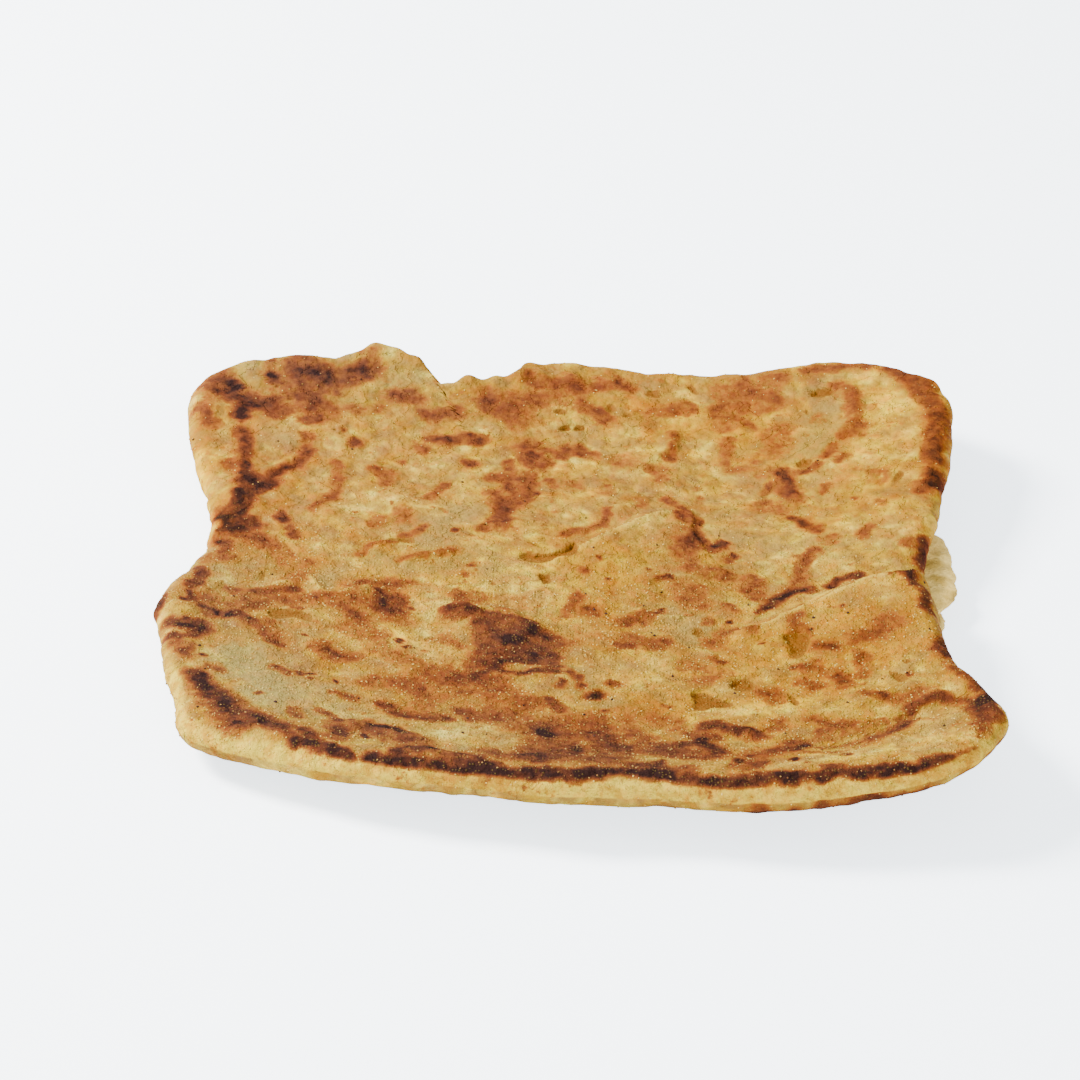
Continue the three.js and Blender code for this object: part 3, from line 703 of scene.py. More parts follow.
right_middle_marks = {
    BLACK: [(0.8, (52, -3), (48.5, -5.5)), (1, (80, -3.5)), (0.3, (64, -15.3)), (0.3, (54, -13.5)),
        (0.4, (45, -28.3)), (0.4, (56.5, -24))],
    DARK: [(1.5, (53, 34.5), (56, 32)), (1.2, (38.5, 15.5)),
        (1.5, (54.5, -1), (51.5, -3), (48.5, -5), (47, -8), (46, -10.5)),
        (1, (61.5, -0.5), (63.5, 2), (66, 4), (68.5, 4.5), (69.5, 1.5)),
        (2, (77.5, -1.5), (80, -3), (80.5, -5), (81, -8)), (1.2, (82.8, -14), (83.2, -18.5)),
        (1.8, (85, 20), (84.5, 15), (83.5, 10)), (2, (87, -35), (86.5, -37))],
    BROWN: [(1.8, (56, 31), (59, 28)), (2, (56, -1), (53, -1.5)), (0.8, (46, -11), (44.5, -13)),
        (1.6, (67.5, 4), (69, 2)), (1.6, (82.5, -10), (82.8, -15), (83.2, -20)),
        (1.6, (88.5, -24), (88.6, -29), (87.8, -34)), (1.8, (59.5, -32))],
    RUST: [(1.8, (37, 13.5)), (1.9, (58, 17), (56, 13), (54.5, 8)), (2, (54.5, 5), (55, 0)),
        (2, (42, 4), (45, 2)), (1.2, (41, -2), (43, -5.5)), (1.5, (38, -12), (36, -10)),
        (2, (81, 18)), (1.5, (71.5, 26.5), (70, 23.5)), (1.4, (53, -19), (53, -24)),
        (1.2, (42.5, -22)), (1.2, (36.5, -23), (39, -21)), (1.2, (33, -27)),
        (3.2, (70, -29), (73, -27), (74, -23)), (1.8, (67, -35), (68, -38)),
        (1.5, (54.5, -39), (57, -38))],
    ORANGE: [(3, (42, 0), (45, -4))],
    TOAST: [(2.5, (62, 22))],
}
back_left_marks = {
    BLACK: [(1.6, (-90, 79), (-88.5, 77.5), (-89.5, 75)),
        (2.1, (-87, 72), (-85.5, 70), (-86.5, 66), (-86, 64)), (1.6, (-80, 83.5), (-79, 82)),
        (1.6, (-83, 41), (-82.5, 37)), (0.4, (-97, 42))],
    DARK: [(2.2, (-84, 70), (-82, 71), (-80, 72)), (2.2, (-71, 86), (-67, 84)),
        (2, (-60, 87.5), (-57, 88.5)), (1.4, (-84.5, 56.5), (-84, 52)), (1.5, (-82, 35), (-79, 34)),
        (0.9, (-76, 39), (-72, 44)), (1.4, (-57, 58.3)), (1.3, (-36, 64), (-33, 64.2)),
        (1.4, (-43, 101), (-41.5, 97))],
    BROWN: [(3.4, (-92, 79), (-89, 76), (-87, 73)), (3, (-82, 70), (-79, 69), (-78, 67)),
        (4.5, (-94, 78), (-90, 74)), (3, (-80, 83), (-79, 81)),
        (3.8, (-74, 90), (-70, 87), (-66, 85), (-63, 84), (-60, 87), (-57, 88), (-55, 90)),
        (2.8, (-75, 86), (-72, 83), (-68, 84)), (2.8, (-66, 84), (-64, 81), (-66, 80)),
        (3, (-71, 77), (-69, 75), (-67, 74), (-69, 72)), (2.6, (-78, 73), (-76, 71), (-75, 69)),
        (1.8, (-69, 66), (-67, 66.5)), (1.4, (-95, 64), (-94, 61)),
        (2.4, (-86, 57), (-84.5, 57), (-84, 54), (-83.5, 50), (-83.5, 46), (-83.5, 42)),
        (3.2, (-82, 38), (-79, 36), (-77, 37)),
        (1.8, (-77, 38), (-75, 41), (-73, 43), (-71, 45), (-69.5, 48), (-68.5, 51)),
        (0.9, (-51, 46.8)), (3.2, (-48.5, 80), (-44.5, 80.5)),
        (2.2, (-40, 74.5), (-38, 73.5), (-34, 75), (-32, 76)),
        (2.4, (-38, 64), (-34, 63.5), (-30, 65), (-26, 65))],
    RUST: [(4.6, (-73, 80), (-70, 74), (-66, 71)),
        (2.3, (-96.5, 67), (-95, 64), (-94, 61), (-93, 60)), (2, (-87, 43), (-86, 41)),
        (1.2, (-69, 53), (-69, 56), (-69.5, 60)),
        (1.2, (-61.5, 48), (-60.5, 43), (-60, 39), (-60.5, 35), (-61, 31)), (0.9, (-60, 63.5)),
        (2, (-57, 58.3)), (2, (-40, 59.5), (-40, 57.5)), (1.1, (-44.5, 51.5)),
        (1.7, (-51, 46.5), (-48, 45), (-48.5, 41.5)), (1.6, (-59, 73), (-57, 73)),
        (1.1, (-33, 43), (-34, 41), (-36, 37), (-37, 35)), (1.5, (-91.5, 84), (-91, 82)),
        (1.5, (-92, 92), (-90, 90))],
    TOAST: [(2, (-52, 74)), (3, (-80, 88)), (3, (-56, 95))],
}
back_middle_marks = {
    BROWN: [(2.6, (-24.5, 84), (-24, 80)), (1.2, (-2, 93.5)), (1.3, (8, 95.5)),
        (1.8, (-13.5, 62), (-12.5, 59)), (1.9, (-3, 64), (-1, 65), (0, 62.5)),
        (1.8, (-29, 53.5), (-27.5, 53.5)), (1.8, (-17.5, 47), (-18, 43)), (1.1, (-11, 41)),
        (0.9, (25.5, 38), (27, 35.5))],
    RUST: [(4.4, (-24, 84), (-20, 83), (-16, 84), (-14, 85)), (3.6, (-22, 79), (-19, 79)),
        (2.6, (-13.5, 93), (-11, 92.5), (-8, 93)), (3, (-4, 93.5), (-1, 92.5)),
        (2.6, (3, 94), (7, 94.5), (9, 96)), (1.8, (11, 94.5)),
        (2.5, (-1, 86), (0, 84), (2, 83), (4, 82), (5, 79)), (2.2, (3.5, 82.5), (4.5, 79)),
        (2.2, (23, 85), (26, 86)), (1.3, (23, 75), (22.8, 70), (22.2, 66), (21.8, 62)),
        (3.4, (-13.5, 63), (-12.5, 60), (-11, 57.5)), (2, (-12, 66)),
        (2.4, (-9, 62), (-5, 62), (-3, 64.5)), (1.8, (2, 63.5), (3, 63)),
        (1.8, (-9, 57), (-10, 54)), (1.3, (-18, 56), (-17.5, 52)), (1.8, (-22, 47), (-20, 48)),
        (2.8, (-16, 47), (-13, 49), (-15, 42)), (1.5, (-7, 48), (-6.5, 46)),
        (1.8, (-21, 40), (-20, 36)), (2.8, (-14, 38), (-15, 36)),
        (1.5, (22, 41.5), (25, 39), (27, 36), (29.5, 31))],
    ORANGE: [(4, (-20, 78), (-17, 75)), (2.4, (18, 84), (21, 84)), (1, (29.3, 48.2))],
    TOAST: [(5, (-5, 88)), (3, (-2, 47)), (2.6, (7, 46)), (3, (10, 60), (12, 59)),
        (2, (17, 57), (19, 56), (20, 53)), (1.3, (15, 41), (16, 38)), (1.4, (30, 43))],
}
back_right_marks = {
    DARK: [(1.5, (88.5, 57), (88.5, 54.5)), (2, (88, 48), (88, 46), (87.5, 43)),
        (1.4, (50.5, 56), (51, 53), (52, 49), (53, 46))],
    BROWN: [(1.4, (43, 92.5)), (1.3, (42, 79), (43, 77.5)),
        (2.8, (79, 97), (83, 93), (86, 89), (86, 85), (87, 82), (88.5, 78), (89.5, 74),
         (89.5, 70), (89, 66), (88.5, 62), (87.5, 58), (88, 55)),
        (3, (88, 48), (87, 44), (86, 42)), (1.2, (46.5, 50)), (1.1, (68, 41.5))],
    RUST: [(2.4, (34.5, 86), (34.5, 83)), (2.8, (40, 97), (42, 95), (43, 92)),
        (2.6, (48, 92), (49, 87.5)), (1.4, (44.5, 84)),
        (1.8, (57, 101), (62, 101.5), (68, 102), (75, 101)), (1.4, (68, 87), (68, 81)),
        (1.8, (68, 71.5), (66, 71)), (0.9, (71, 69.5)), (2, (84, 42), (85, 44)),
        (1.2, (60, 58), (58, 57)), (1, (54, 55), (57, 56)), (1.4, (63.5, 66), (61, 62)),
        (1.3, (66, 61), (65, 60)), (1, (44, 62)), (2.8, (50, 55), (51, 50), (53, 44)),
        (1.2, (61.5, 48.5), (61, 46))],
    ORANGE: [(4, (36, 93), (38, 88), (38, 84)), (3.2, (47, 97), (50, 98)),
        (2.6, (45, 90), (46, 86)), (1.6, (37, 71), (36, 62)),
        (2, (64, 92.5), (67, 91), (68.5, 86), (68, 80), (69, 76), (68, 72)),
        (1.6, (38, 58), (41, 59))],
    TOAST: [(3, (40, 80), (36, 78)), (4, (50, 75), (48, 68)), (2.2, (60, 80)), (1.6, (46, 47)),
        (2.6, (74, 51)), (2, (74, 38)), (3, (46, 40), (50, 38)), (1.6, (45, 55))],
}
top_marks = [
    (tone, *mark)
    for area in (front_left_marks, front_middle_marks, front_right_marks, left_middle_marks,
                 centre_marks, right_middle_marks, back_left_marks, back_middle_marks,
                 back_right_marks)
    for tone, marks in area.items() for mark in marks]

# Soft zones: (strength, radius, path).
warm_zones = [
    (1.0, 10, (60, -14), (72, -14), (76, -26), (62, -30), (50, -22)),
    (0.8, 7, (5, 20), (12, 6), (10, -4)),
    (0.8, 6, (28, -46), (22, -54), (18, -62)),
    (0.8, 8, (-40, -60), (-30, -66), (-18, -64)),
    (0.7, 7, (20, -62), (24, -74), (14, -84)),
    (0.8, 8, (44, -72), (56, -76), (66, -72)),
    (0.7, 7, (-72, 0), (-60, -10), (-44, -6)),
    (0.7, 8, (40, 76), (48, 66), (40, 60)),
    (0.6, 8, (-58, 78), (-50, 72), (-30, 90)),
    (0.7, 8, (-6, 92), (4, 90), (20, 92)),
    (0.6, 6, (34, -12), (44, -22), (40, -30)),
    (0.8, 5, (-80, -44), (-76, -48)),
    (0.6, 6, (8, -30), (14, -36), (24, -30)),
    (0.7, 6, (30, 12), (34, 0), (28, -8)),
]
grey_zones = [
    (1.0, 8, (-78, -50), (-72, -60), (-68, -70)),
    (1.0, 3.5, (-58, -7), (-58, -14)),
    (0.9, 3, (30, -19), (30, -25)),
    (0.7, 8, (-58, -62), (-50, -72)),
    (0.8, 5, (-48, 0), (-40, 0)),
    (0.8, 6, (-34, 2), (-34, 14), (-30, 30)),
    (0.8, 5, (26, -14), (30, -24)),
    (0.7, 6, (50, 70), (58, 66), (62, 82)),
    (0.6, 7, (-30, 10), (-22, 2)),
    (0.7, 6, (4, -44), (8, -60)),
    (0.6, 5, (88, -72), (86, -80)),
    (0.7, 5, (-76, 54)),
    (0.6, 7, (40, 22), (60, 20)),
    (0.5, 7, (4, 66), (0, 76)),
    (0.7, 5, (78, -44), (72, -46)),
]
pale_zones = [
    # The first zone, along the flap's crest, is a pale crumbly edge with a painted highlight on it.
    (0.9, 5, (37, -19), (48, -14), (60, -8), (75, -6)),
    (0.8, 5, (-20, -80), (-28, -84), (-24, -88)),
    (0.8, 6, (14, -46), (22, -44), (14, -38)),
    (0.8, 6, (30, -64), (40, -62), (48, -60)),
    (0.8, 6, (-28, -6), (-16, -8), (-8, -12)),
    (0.9, 5, (-34, -38), (-28, -44), (-40, -32)),
    (0.6, 6, (72, 62), (74, 56), (66, 52)),
    (0.6, 7, (72, 96), (78, 86)),
    (0.7, 4, (20, 52), (0, 57)),
    (0.7, 5, (30, 66), (32, 74)),
    (0.6, 6, (-56, 32), (-50, 34)),
    (0.7, 4, (12, 24), (20, 30)),
    (0.7, 6, (80, -84), (70, -86), (60, -92)),
    (0.7, 8, (62, -74), (76, -62)),
    (0.5, 8, (72, 24), (60, 14)),
    (0.6, 9, (80, 58), (84, 90)),
    (0.4, 9, (-30, 52), (-10, 52)),
    (0.4, 8, (-36, -14), (-30, -20)),
    (0.5, 7, (-14, -72)),
    (0.7, 6, (-97, 44), (-93, 12)),
]
deep_zones = [
    (0.65, 15, (-80, 62), (-72, 30), (-76, 0)),
    (1.0, 13, (-78, -10), (-74, -28), (-64, -56)),
    (0.5, 9, (-5, -24), (0, -34)),
    (0.4, 9, (14, 50), (16, 36), (26, -2)),
    (0.7, 5, (96, 84), (94, 40)),
    (0.7, 5, (93, 4), (92, -34)),
    (0.5, 8, (-16, -46), (-4, -54)),
]
floury_zones = [
    (0.9, 13, (-84, -30), (-78, -58), (-64, -80), (-34, -90), (-6, -92), (16, -90)),
    (0.9, 15, (-88, 86), (-66, 84), (-44, 86)),
    (0.6, 8, (-24, -68), (-4, -78)),
    (0.6, 8, (62, -78), (80, -58)),
    (0.8, 11, (-90, -8), (-80, -24)),
    (1.0, 10, (-12, -93), (8, -93)),
    (0.7, 8, (-18, -32), (-8, -38)),
]
golden_zones = [
    (0.9, 13, (44, -34), (60, -26), (70, -38), (50, -54)),
    (0.9, 8, (-97, 52), (-92, 12)),
    (0.7, 9, (-6, 14), (8, 4), (8, -14)),
    (0.8, 9, (92, 96), (90, 40), (90, -30)),
    (0.7, 12, (18, 78), (44, 74), (66, 66)),
    (0.6, 9, (-50, 4), (-30, 2)),
    (0.6, 8, (10, -56), (30, -60)),
    (0.8, 11, (64, -62), (84, -52)),
    (0.7, 10, (60, 30), (74, 50), (76, 84)),
]


def mark_field(marks, x, y):
    """Scorching from 0 to 1 by marks with soft edges, and the warm glow around them."""
    wander_x = 0.8 * soft_noise(x, y, 3.4, 51) + 0.6 * soft_noise(x, y, 1.5, 52)
    wander_y = 0.8 * soft_noise(x, y, 3.4, 53) + 0.6 * soft_noise(x, y, 1.5, 54)
    uneven = 1 + 0.25 * soft_noise(x, y, 5, 55)
    field = np.zeros(x.shape)
    glow = np.zeros(x.shape)
    for tone, half_width, *path in marks:
        hold = min(1, half_width / 1.6)
        distance = near_path(path, x + hold * wander_x, y + hold * wander_y)[0]
        reach = 1.02 * half_width * uneven + 0.3
        field += (tone * np.exp(-(distance / reach) ** 3.6)) ** 4
        glow = np.maximum(glow, tone * bell(distance, half_width + 3) * min(1, half_width / 2))
    return np.minimum(field ** 0.25, 1), glow


def zone_field(zones, x, y):
    wander_x = x + 3 * soft_noise(x, y, 9, 61)
    wander_y = y + 3 * soft_noise(x, y, 9, 62)
    field = np.zeros(x.shape)
    for strength, radius, *path in zones:
        distance = near_path(path, wander_x, wander_y)[0]
        field = np.maximum(field, strength * bell(distance, radius))
    return field


def underside_marks(seed, count):
    """Blotches that the pan leaves on the hidden face, scattered evenly over it."""
    draw = np.random.default_rng(seed)
    marks = []
    for _ in range(count):
        angle, reach = draw.uniform(0, 2 * math.pi), draw.uniform(0.02, 0.93) ** 0.6 * 98
        start = np.array([math.cos(angle), math.sin(angle)]) * reach
        turn = draw.uniform(-0.6, 0.9)
        step = draw.uniform(1, 9) * np.array([math.cos(turn), math.sin(turn)])
        tone = draw.choice([DARK, BROWN, RUST, ORANGE, TOAST])
        marks.append((tone, draw.uniform(1.2, 5), tuple(start), tuple(start + step)))
    return marks


x, y = flat_corners[:, 0], flat_corners[:, 1]
scorch, glow = mark_field(top_marks, x, y)
hidden = ~upper
# The lower face is scorched along its edge at the front right corner.
edge_line = [(0.9, 2.6, (44, -103), (66, -99.5), (80, -95), (90, -86), (96, -77))]
scorch[hidden], glow[hidden] = mark_field(underside_marks(5, 110) + edge_line,
                                          x[hidden], y[hidden])
warm = np.clip(0.55 * zone_field(warm_zones, x, y) + 0.65 * glow, 0, 1)
grey = zone_field(grey_zones, x, y)
pale = zone_field(pale_zones, x, y) - zone_field(deep_zones, x, y)
floury = zone_field(floury_zones, x, y) - zone_field(golden_zones, x, y)
inside_by, hole_depth = blister_depths(x, y)
hole = np.where(upper, np.clip(0.5 + inside_by / 4, 0, 1), 0)
# The lower ply's amber in a blister, darker toward the deep far side: painted shade under the torn
# ply.
amber_and_shade = np.where(upper, np.clip(0.35 + hole_depth / 1.6, 0, 1), 0)
side_wall = 1 - eased(0.5, 4.5, inset)
# The rounded wall along the front and the left front never touched the pan.
uncooked = np.where(upper, 1 - eased(1.5, 3.3, inset + 0.6 * soft_noise(x, y, 5, 81)), 0)
uncooked *= np.maximum(eased(-70, -92, y), eased(-76, -84, x) * eased(-48, -62, y))
uncooked *= eased(97, 84, x + 0.3 * y)
scorch *= 1 - 0.9 * uncooked * (1 - eased(1.0, 2.0, inset))
# The underside, and the foot of the walls at the back and the right, lie in shade: painted paler,
# less yellow.
far_side = np.maximum(eased(60, 90, y), eased(70, 90, x) * eased(-70, -50, y))
shaded_side = np.where(upper, 0.8 * far_side * (1 - eased(0.4, 2.4, inset)),
               np.maximum(far_side, eased(4, 14, inset)))
front_half = 0.16 + 0.84 * eased(35, -30, y)
dusted = 0.2 + 0.8 * eased(40, -15, y)  # the front half took more of the semolina
# A painted highlight on the raised lip of each torn edge, and painted shade at its foot.
lip_highlight = np.zeros(x.shape)
foot_shade = np.zeros(x.shape)
for height, fade, present, past in torn_edge_places(x, y):
    lip_highlight = np.maximum(lip_highlight, present * bell(past - 0.6, 0.9) * np.minimum(1, height))
    foot_shade = np.maximum(foot_shade, present * bell(past + 0.5, 0.55) * np.minimum(1, height))
in_open = 1 - np.clip(hole * 2 - 0.6, 0, 1)
grain = np.where(upper, front_half, 0.3) * (1 - 0.6 * side_wall) * in_open
grain *= 1 - 0.6 * eased(0.3, 0.8, scorch)
grain = np.where(corners[:, 2] > 1.2, grain, 0)


def paint(mesh, name, channels):
    """Stores up to four values from 0 to 1 for each corner, as one colour attribute."""
    layer = mesh.color_attributes.new(name, "FLOAT_COLOR", "POINT")
    values = np.ones((len(mesh.vertices), 4), np.float32)
    for k, channel in enumerate(channels):
        values[:, k] = channel
    layer.data.foreach_set("color", values.ravel())


def store_value(mesh, name, value):
    layer = mesh.attributes.new(name, "FLOAT", "POINT")
    layer.data.foreach_set("value", value.astype(np.float32))


paint(bread.data, "crust", (scorch, warm, grey, pale))
paint(bread.data, "layers", (hole, amber_and_shade, side_wall, dusted))
# Its first two values are the painted highlight and the painted shade of the torn edges.
paint(bread.data, "torn", (np.where(upper, lip_highlight, 0), np.where(upper, foot_shade, 0), uncooked, floury))
store_value(bread.data, "shaded_side", shaded_side)
store_value(bread.data, "grain", grain)

# The bread's own map: the upper face fills two thirds of it, and the underside the rest.
map_half_width, map_half_depth = 104, 112
upper_band, lower_start, lower_band = 0.655, 0.665, 0.33
unwrap = bread.data.uv_layers.new(name="OFBake")
loop_corner = np.empty(len(bread.data.loops), int)
bread.data.loops.foreach_get("vertex_index", loop_corner)
face_up = np.repeat(upper[triangles].all(axis=1), 3)
u = (corners[loop_corner, 0] + map_half_width) / (2 * map_half_width)
v = (corners[loop_corner, 1] + map_half_depth) / (2 * map_half_depth)
flat = np.stack([u, np.where(face_up, v * upper_band, lower_start + v * lower_band)], 1)
unwrap.data.foreach_set("uv", flat.astype(np.float32).ravel())

# ==== The crust's material ====
# Baked semolina dough: matte, faintly oily, coarse with grains that stay golden even where
# the dough under them is charred.


def node(tree, kind, values=None, **settings):
    """A new node with its settings, and with values or links put into its inputs."""
    made = tree.nodes.new(kind)
    for key, value in settings.items():
        setattr(made, key, value)
    for key, value in (values or {}).items():
        if isinstance(value, bpy.types.NodeSocket):
            tree.links.new(value, made.inputs[key])
        else:
            made.inputs[key].default_value = value
    return made


def math_node(tree, operation, a, b=0.0, clamp=False):
    return node(tree, "ShaderNodeMath", {0: a, 1: b}, operation=operation,
                use_clamp=clamp).outputs[0]


def multiply_add(tree, a, b, c):
    return node(tree, "ShaderNodeMath", {0: a, 1: b, 2: c}, operation="MULTIPLY_ADD").outputs[0]


def mix_colour(tree, share, a, b, blend="MIX"):
    made = node(tree, "ShaderNodeMix", {0: share, 6: a, 7: b}, data_type="RGBA",
                blend_type=blend)
    return made.outputs[2]


def remap(tree, value, low, high, to_low=0.0, to_high=1.0):
    made = node(tree, "ShaderNodeMapRange", {0: value, 1: low, 2: high, 3: to_low, 4: to_high},
                interpolation_type="SMOOTHSTEP")
    return made.outputs[0]


def noise(tree, place, size, detail=2.0, rough=0.5):
    """Noise in millimetres about its middle value of one half."""
    made = node(tree, "ShaderNodeTexNoise", {"Vector": place, "Scale": 1 / size,
                                             "Detail": detail, "Roughness": rough})
    return made.outputs["Fac"]


def about_zero(tree, place, size, detail=2.0, rough=0.5):
    """The same noise about zero."""
    return math_node(tree, "SUBTRACT", noise(tree, place, size, detail, rough), 0.5)


def brightened(tree, shade, value):
    """The colour made lighter or darker by a factor."""
    return node(tree, "ShaderNodeHueSaturation", {"Color": shade, "Value": value}).outputs[0]


def new_group(name, inputs, outputs):
    """An empty shader node group with its input and output nodes."""
    tree = bpy.data.node_groups.new(name, "ShaderNodeTree")
    for label, kind, default in inputs:
        socket = tree.interface.new_socket(label, in_out="INPUT", socket_type=kind)
        if default is not None:
            socket.default_value = default
    for label, kind in outputs:
        tree.interface.new_socket(label, in_out="OUTPUT", socket_type=kind)
    return tree, tree.nodes.new("NodeGroupInput"), tree.nodes.new("NodeGroupOutput")


def colour(red, green, blue):
    return (red, green, blue, 1.0)


# Shades of the dough, from its palest to a light toasting, as linear values.
dough_cream = colour(0.395, 0.2680, 0.0340)
dough_pale = colour(0.315, 0.2030, 0.0212)
dough_straw = colour(0.262, 0.1520, 0.0165)
dough_plain = colour(0.222, 0.120, 0.0165)
dough_tan = colour(0.184, 0.0885, 0.0145)
dough_rust = colour(0.150, 0.0600, 0.0115)
dough_golden = colour(0.230, 0.1145, 0.0085)
dough_grey = colour(0.190, 0.119, 0.0265)
dough_dull = colour(0.175, 0.090, 0.0200)
golden_tint = colour(0.99, 0.90, 0.60)  # what a little browning leaves of the dough's colour
toast_tint = colour(0.89, 0.70, 0.45)
raw_wall = colour(0.46, 0.305, 0.0275)
wall_gold = colour(0.35, 0.192, 0.0112)
reddish = colour(1.05, 0.92, 0.86)
olive = colour(0.98, 1.025, 1.00)
yellower = colour(1.04, 0.955, 0.46)
greyer = colour(0.98, 1.0, 1.35)
floury_tint = colour(0.93, 1.12, 1.38)
gilded_tint = colour(1.04, 0.98, 0.55)
# A paler, less yellow tint painted on faces that lie in shade.
shaded_side_tint = colour(1.06, 0.99, 1.9)
# Shades of the browning.
fringe_gold = colour(0.204, 0.0920, 0.0116)
fringe_orange = colour(0.183, 0.0655, 0.0086)
light_rust = colour(0.148, 0.0440, 0.0070)
rust = colour(0.111, 0.0300, 0.0072)
brown = colour(0.079, 0.0208, 0.0070)
deep_brown = colour(0.055, 0.0155, 0.0066)
char_brown = colour(0.038, 0.0115, 0.0058)
char_black = colour(0.0170, 0.0066, 0.0050)
# What shows in torn blisters, darker toward the deep far side as painted shade under the torn ply,
# the painted shade at the foot of a torn ply, and the grains of semolina.
amber_shadowed = colour(0.122, 0.044, 0.0050)
amber_mid = colour(0.160, 0.074, 0.0090)
amber_light = colour(0.198, 0.110, 0.0190)
# Painted shade at the foot of a torn ply.
foot_shadow_brown = colour(0.110, 0.034, 0.0060)
grain_light = colour(0.48, 0.32, 0.060)


def millimetres(tree):
    """Object coordinates as millimetres."""
    place = node(tree, "ShaderNodeTexCoord").outputs["Object"]
    made = node(tree, "ShaderNodeMapping", {"Vector": place, "Scale": (1 / MM,) * 3})
    return made.outputs[0]


def new_material(name):
    """An empty material, with its node tree."""
    made = bpy.data.materials.new(name)
    made.use_nodes = True
    made.node_tree.nodes.clear()
    return made, made.node_tree


def ramp(tree, value, stops):
    """A colour ramp; stops are (position, colour)."""
    made = node(tree, "ShaderNodeValToRGB", {0: value})
    elements = made.color_ramp.elements
    elements[0].position, elements[0].color = stops[0]
    elements[1].position, elements[1].color = stops[-1]
    for position, shade in stops[1:-1]:
        elements.new(position).color = shade
    return made.outputs[0]


def finish(tree, shade, roughness, height, bump, gloss):
    """The material's shader: bump is (strength, distance in metres), and gloss the sheen of oil."""
    strength, distance = bump
    raised = node(tree, "ShaderNodeBump", {
        "Height": height, "Strength": strength, "Distance": distance})
    skin = node(tree, "ShaderNodeBsdfPrincipled", {
        "Base Color": shade, "Roughness": roughness, "Normal": raised.outputs[0],
        "Specular IOR Level": gloss})
    node(tree, "ShaderNodeOutputMaterial", {"Surface": skin.outputs[0]})


# Scorching: breaks a smooth mask into ragged, speckled browning.
browning, given, result = new_group(
    "browning",
    [("Place", "NodeSocketVector", None), ("Scorch", "NodeSocketFloat", 0.0),
     ("Dough", "NodeSocketColor", dough_plain)],
    [("Color", "NodeSocketColor"), ("Char", "NodeSocketFloat")],
)
place = given.outputs["Place"]
amount = given.outputs["Scorch"]
patchy = about_zero(browning, place, 3.4, 3, 0.52)
ragged = about_zero(browning, place, 1.3, 2, 0.5)
speckled = about_zero(browning, place, 0.35, 1, 0.5)
broken = multiply_add(browning, patchy, 0.62, math_node(browning, "MULTIPLY", ragged, 0.36))
broken = multiply_add(browning, speckled, 0.10, broken)
broken = math_node(browning, "MULTIPLY", broken, remap(browning, amount, 0.02, 0.22))
level = multiply_add(browning, amount, multiply_add(browning, patchy, 0.6, 1.0), broken)
shade = ramp(browning, level, [
    (0.10, fringe_gold), (0.22, fringe_orange), (0.35, light_rust), (0.49, rust), (0.63, brown),
    (0.76, deep_brown), (0.88, char_brown), (1.0, char_black)])
tinted = mix_colour(browning, remap(browning, level, 0.0, 0.14), given.outputs["Dough"],
                    toast_tint, "MULTIPLY")
shown = mix_colour(browning, remap(browning, level, 0.04, 0.24), tinted, shade)
browning.links.new(shown, result.inputs["Color"])
browning.links.new(level, result.inputs["Char"])

# Semolina: fine grains pressed into the crust, lighter where the dough is dark.
semolina, given, result = new_group(
    "semolina",
    [("Place", "NodeSocketVector", None), ("Amount", "NodeSocketFloat", 0.5)],
    [("Height", "NodeSocketFloat"), ("Mask", "NodeSocketFloat")],
)
place = given.outputs["Place"]
cells = node(semolina, "ShaderNodeTexVoronoi", {"Vector": place, "Scale": 1 / 0.74,
                                                "Randomness": 1.0}, feature="F1")
lump = remap(semolina, cells.outputs["Distance"], 0.55, 0.0)
pick = node(semolina, "ShaderNodeSeparateColor", {0: cells.outputs["Color"]}).outputs[0]
chosen = math_node(semolina, "LESS_THAN", pick, given.outputs["Amount"])
fine = node(semolina, "ShaderNodeTexVoronoi", {"Vector": place, "Scale": 1 / 0.36,
                                               "Randomness": 1.0}, feature="F1")
dust = remap(semolina, fine.outputs["Distance"], 0.6, 0.0)
height = math_node(semolina, "MULTIPLY", lump, chosen)
height = multiply_add(semolina, height, 0.8, math_node(semolina, "MULTIPLY", dust, 0.15))
mask = math_node(semolina, "MULTIPLY", remap(semolina, cells.outputs["Distance"], 0.45, 0.2), chosen)
semolina.links.new(height, result.inputs["Height"])
semolina.links.new(mask, result.inputs["Mask"])

crust, tree = new_material("griddled crust")
mm = millimetres(tree)
looks = node(tree, "ShaderNodeAttribute", attribute_name="crust")
channels = node(tree, "ShaderNodeSeparateColor", {0: looks.outputs["Color"]})
layers = node(tree, "ShaderNodeAttribute", attribute_name="layers")
depths = node(tree, "ShaderNodeSeparateColor", {0: layers.outputs["Color"]})
torn = node(tree, "ShaderNodeAttribute", attribute_name="torn")
edges = node(tree, "ShaderNodeSeparateColor", {0: torn.outputs["Color"]})
dusted = layers.outputs["Alpha"]
cloudy = about_zero(tree, mm, 11, 3, 0.5)
mottled = about_zero(tree, mm, 4.0, 2, 0.5)
freckled = about_zero(tree, mm, 0.95, 3, 0.6)
gritty = about_zero(tree, mm, 0.42, 1, 0.5)
depth = multiply_add(tree, cloudy, 1.7, 0.52)
depth = multiply_add(tree, mottled, 1.6, depth)
depth = multiply_add(tree, freckled, 0.10, depth)
depth = multiply_add(tree, channels.outputs[1], 0.20, depth)
depth = multiply_add(tree, looks.outputs["Alpha"], -0.36, depth)
depth = multiply_add(tree, depths.outputs[2], -0.26, depth)
dough = ramp(tree, depth, [(0.0, dough_cream), (0.2, dough_pale), (0.4, dough_straw),
                           (0.6, dough_plain), (0.8, dough_tan), (1.0, dough_rust)])
golden = about_zero(tree, mm, 8, 2, 0.5)
goldness = multiply_add(tree, channels.outputs[1], 0.5, golden)
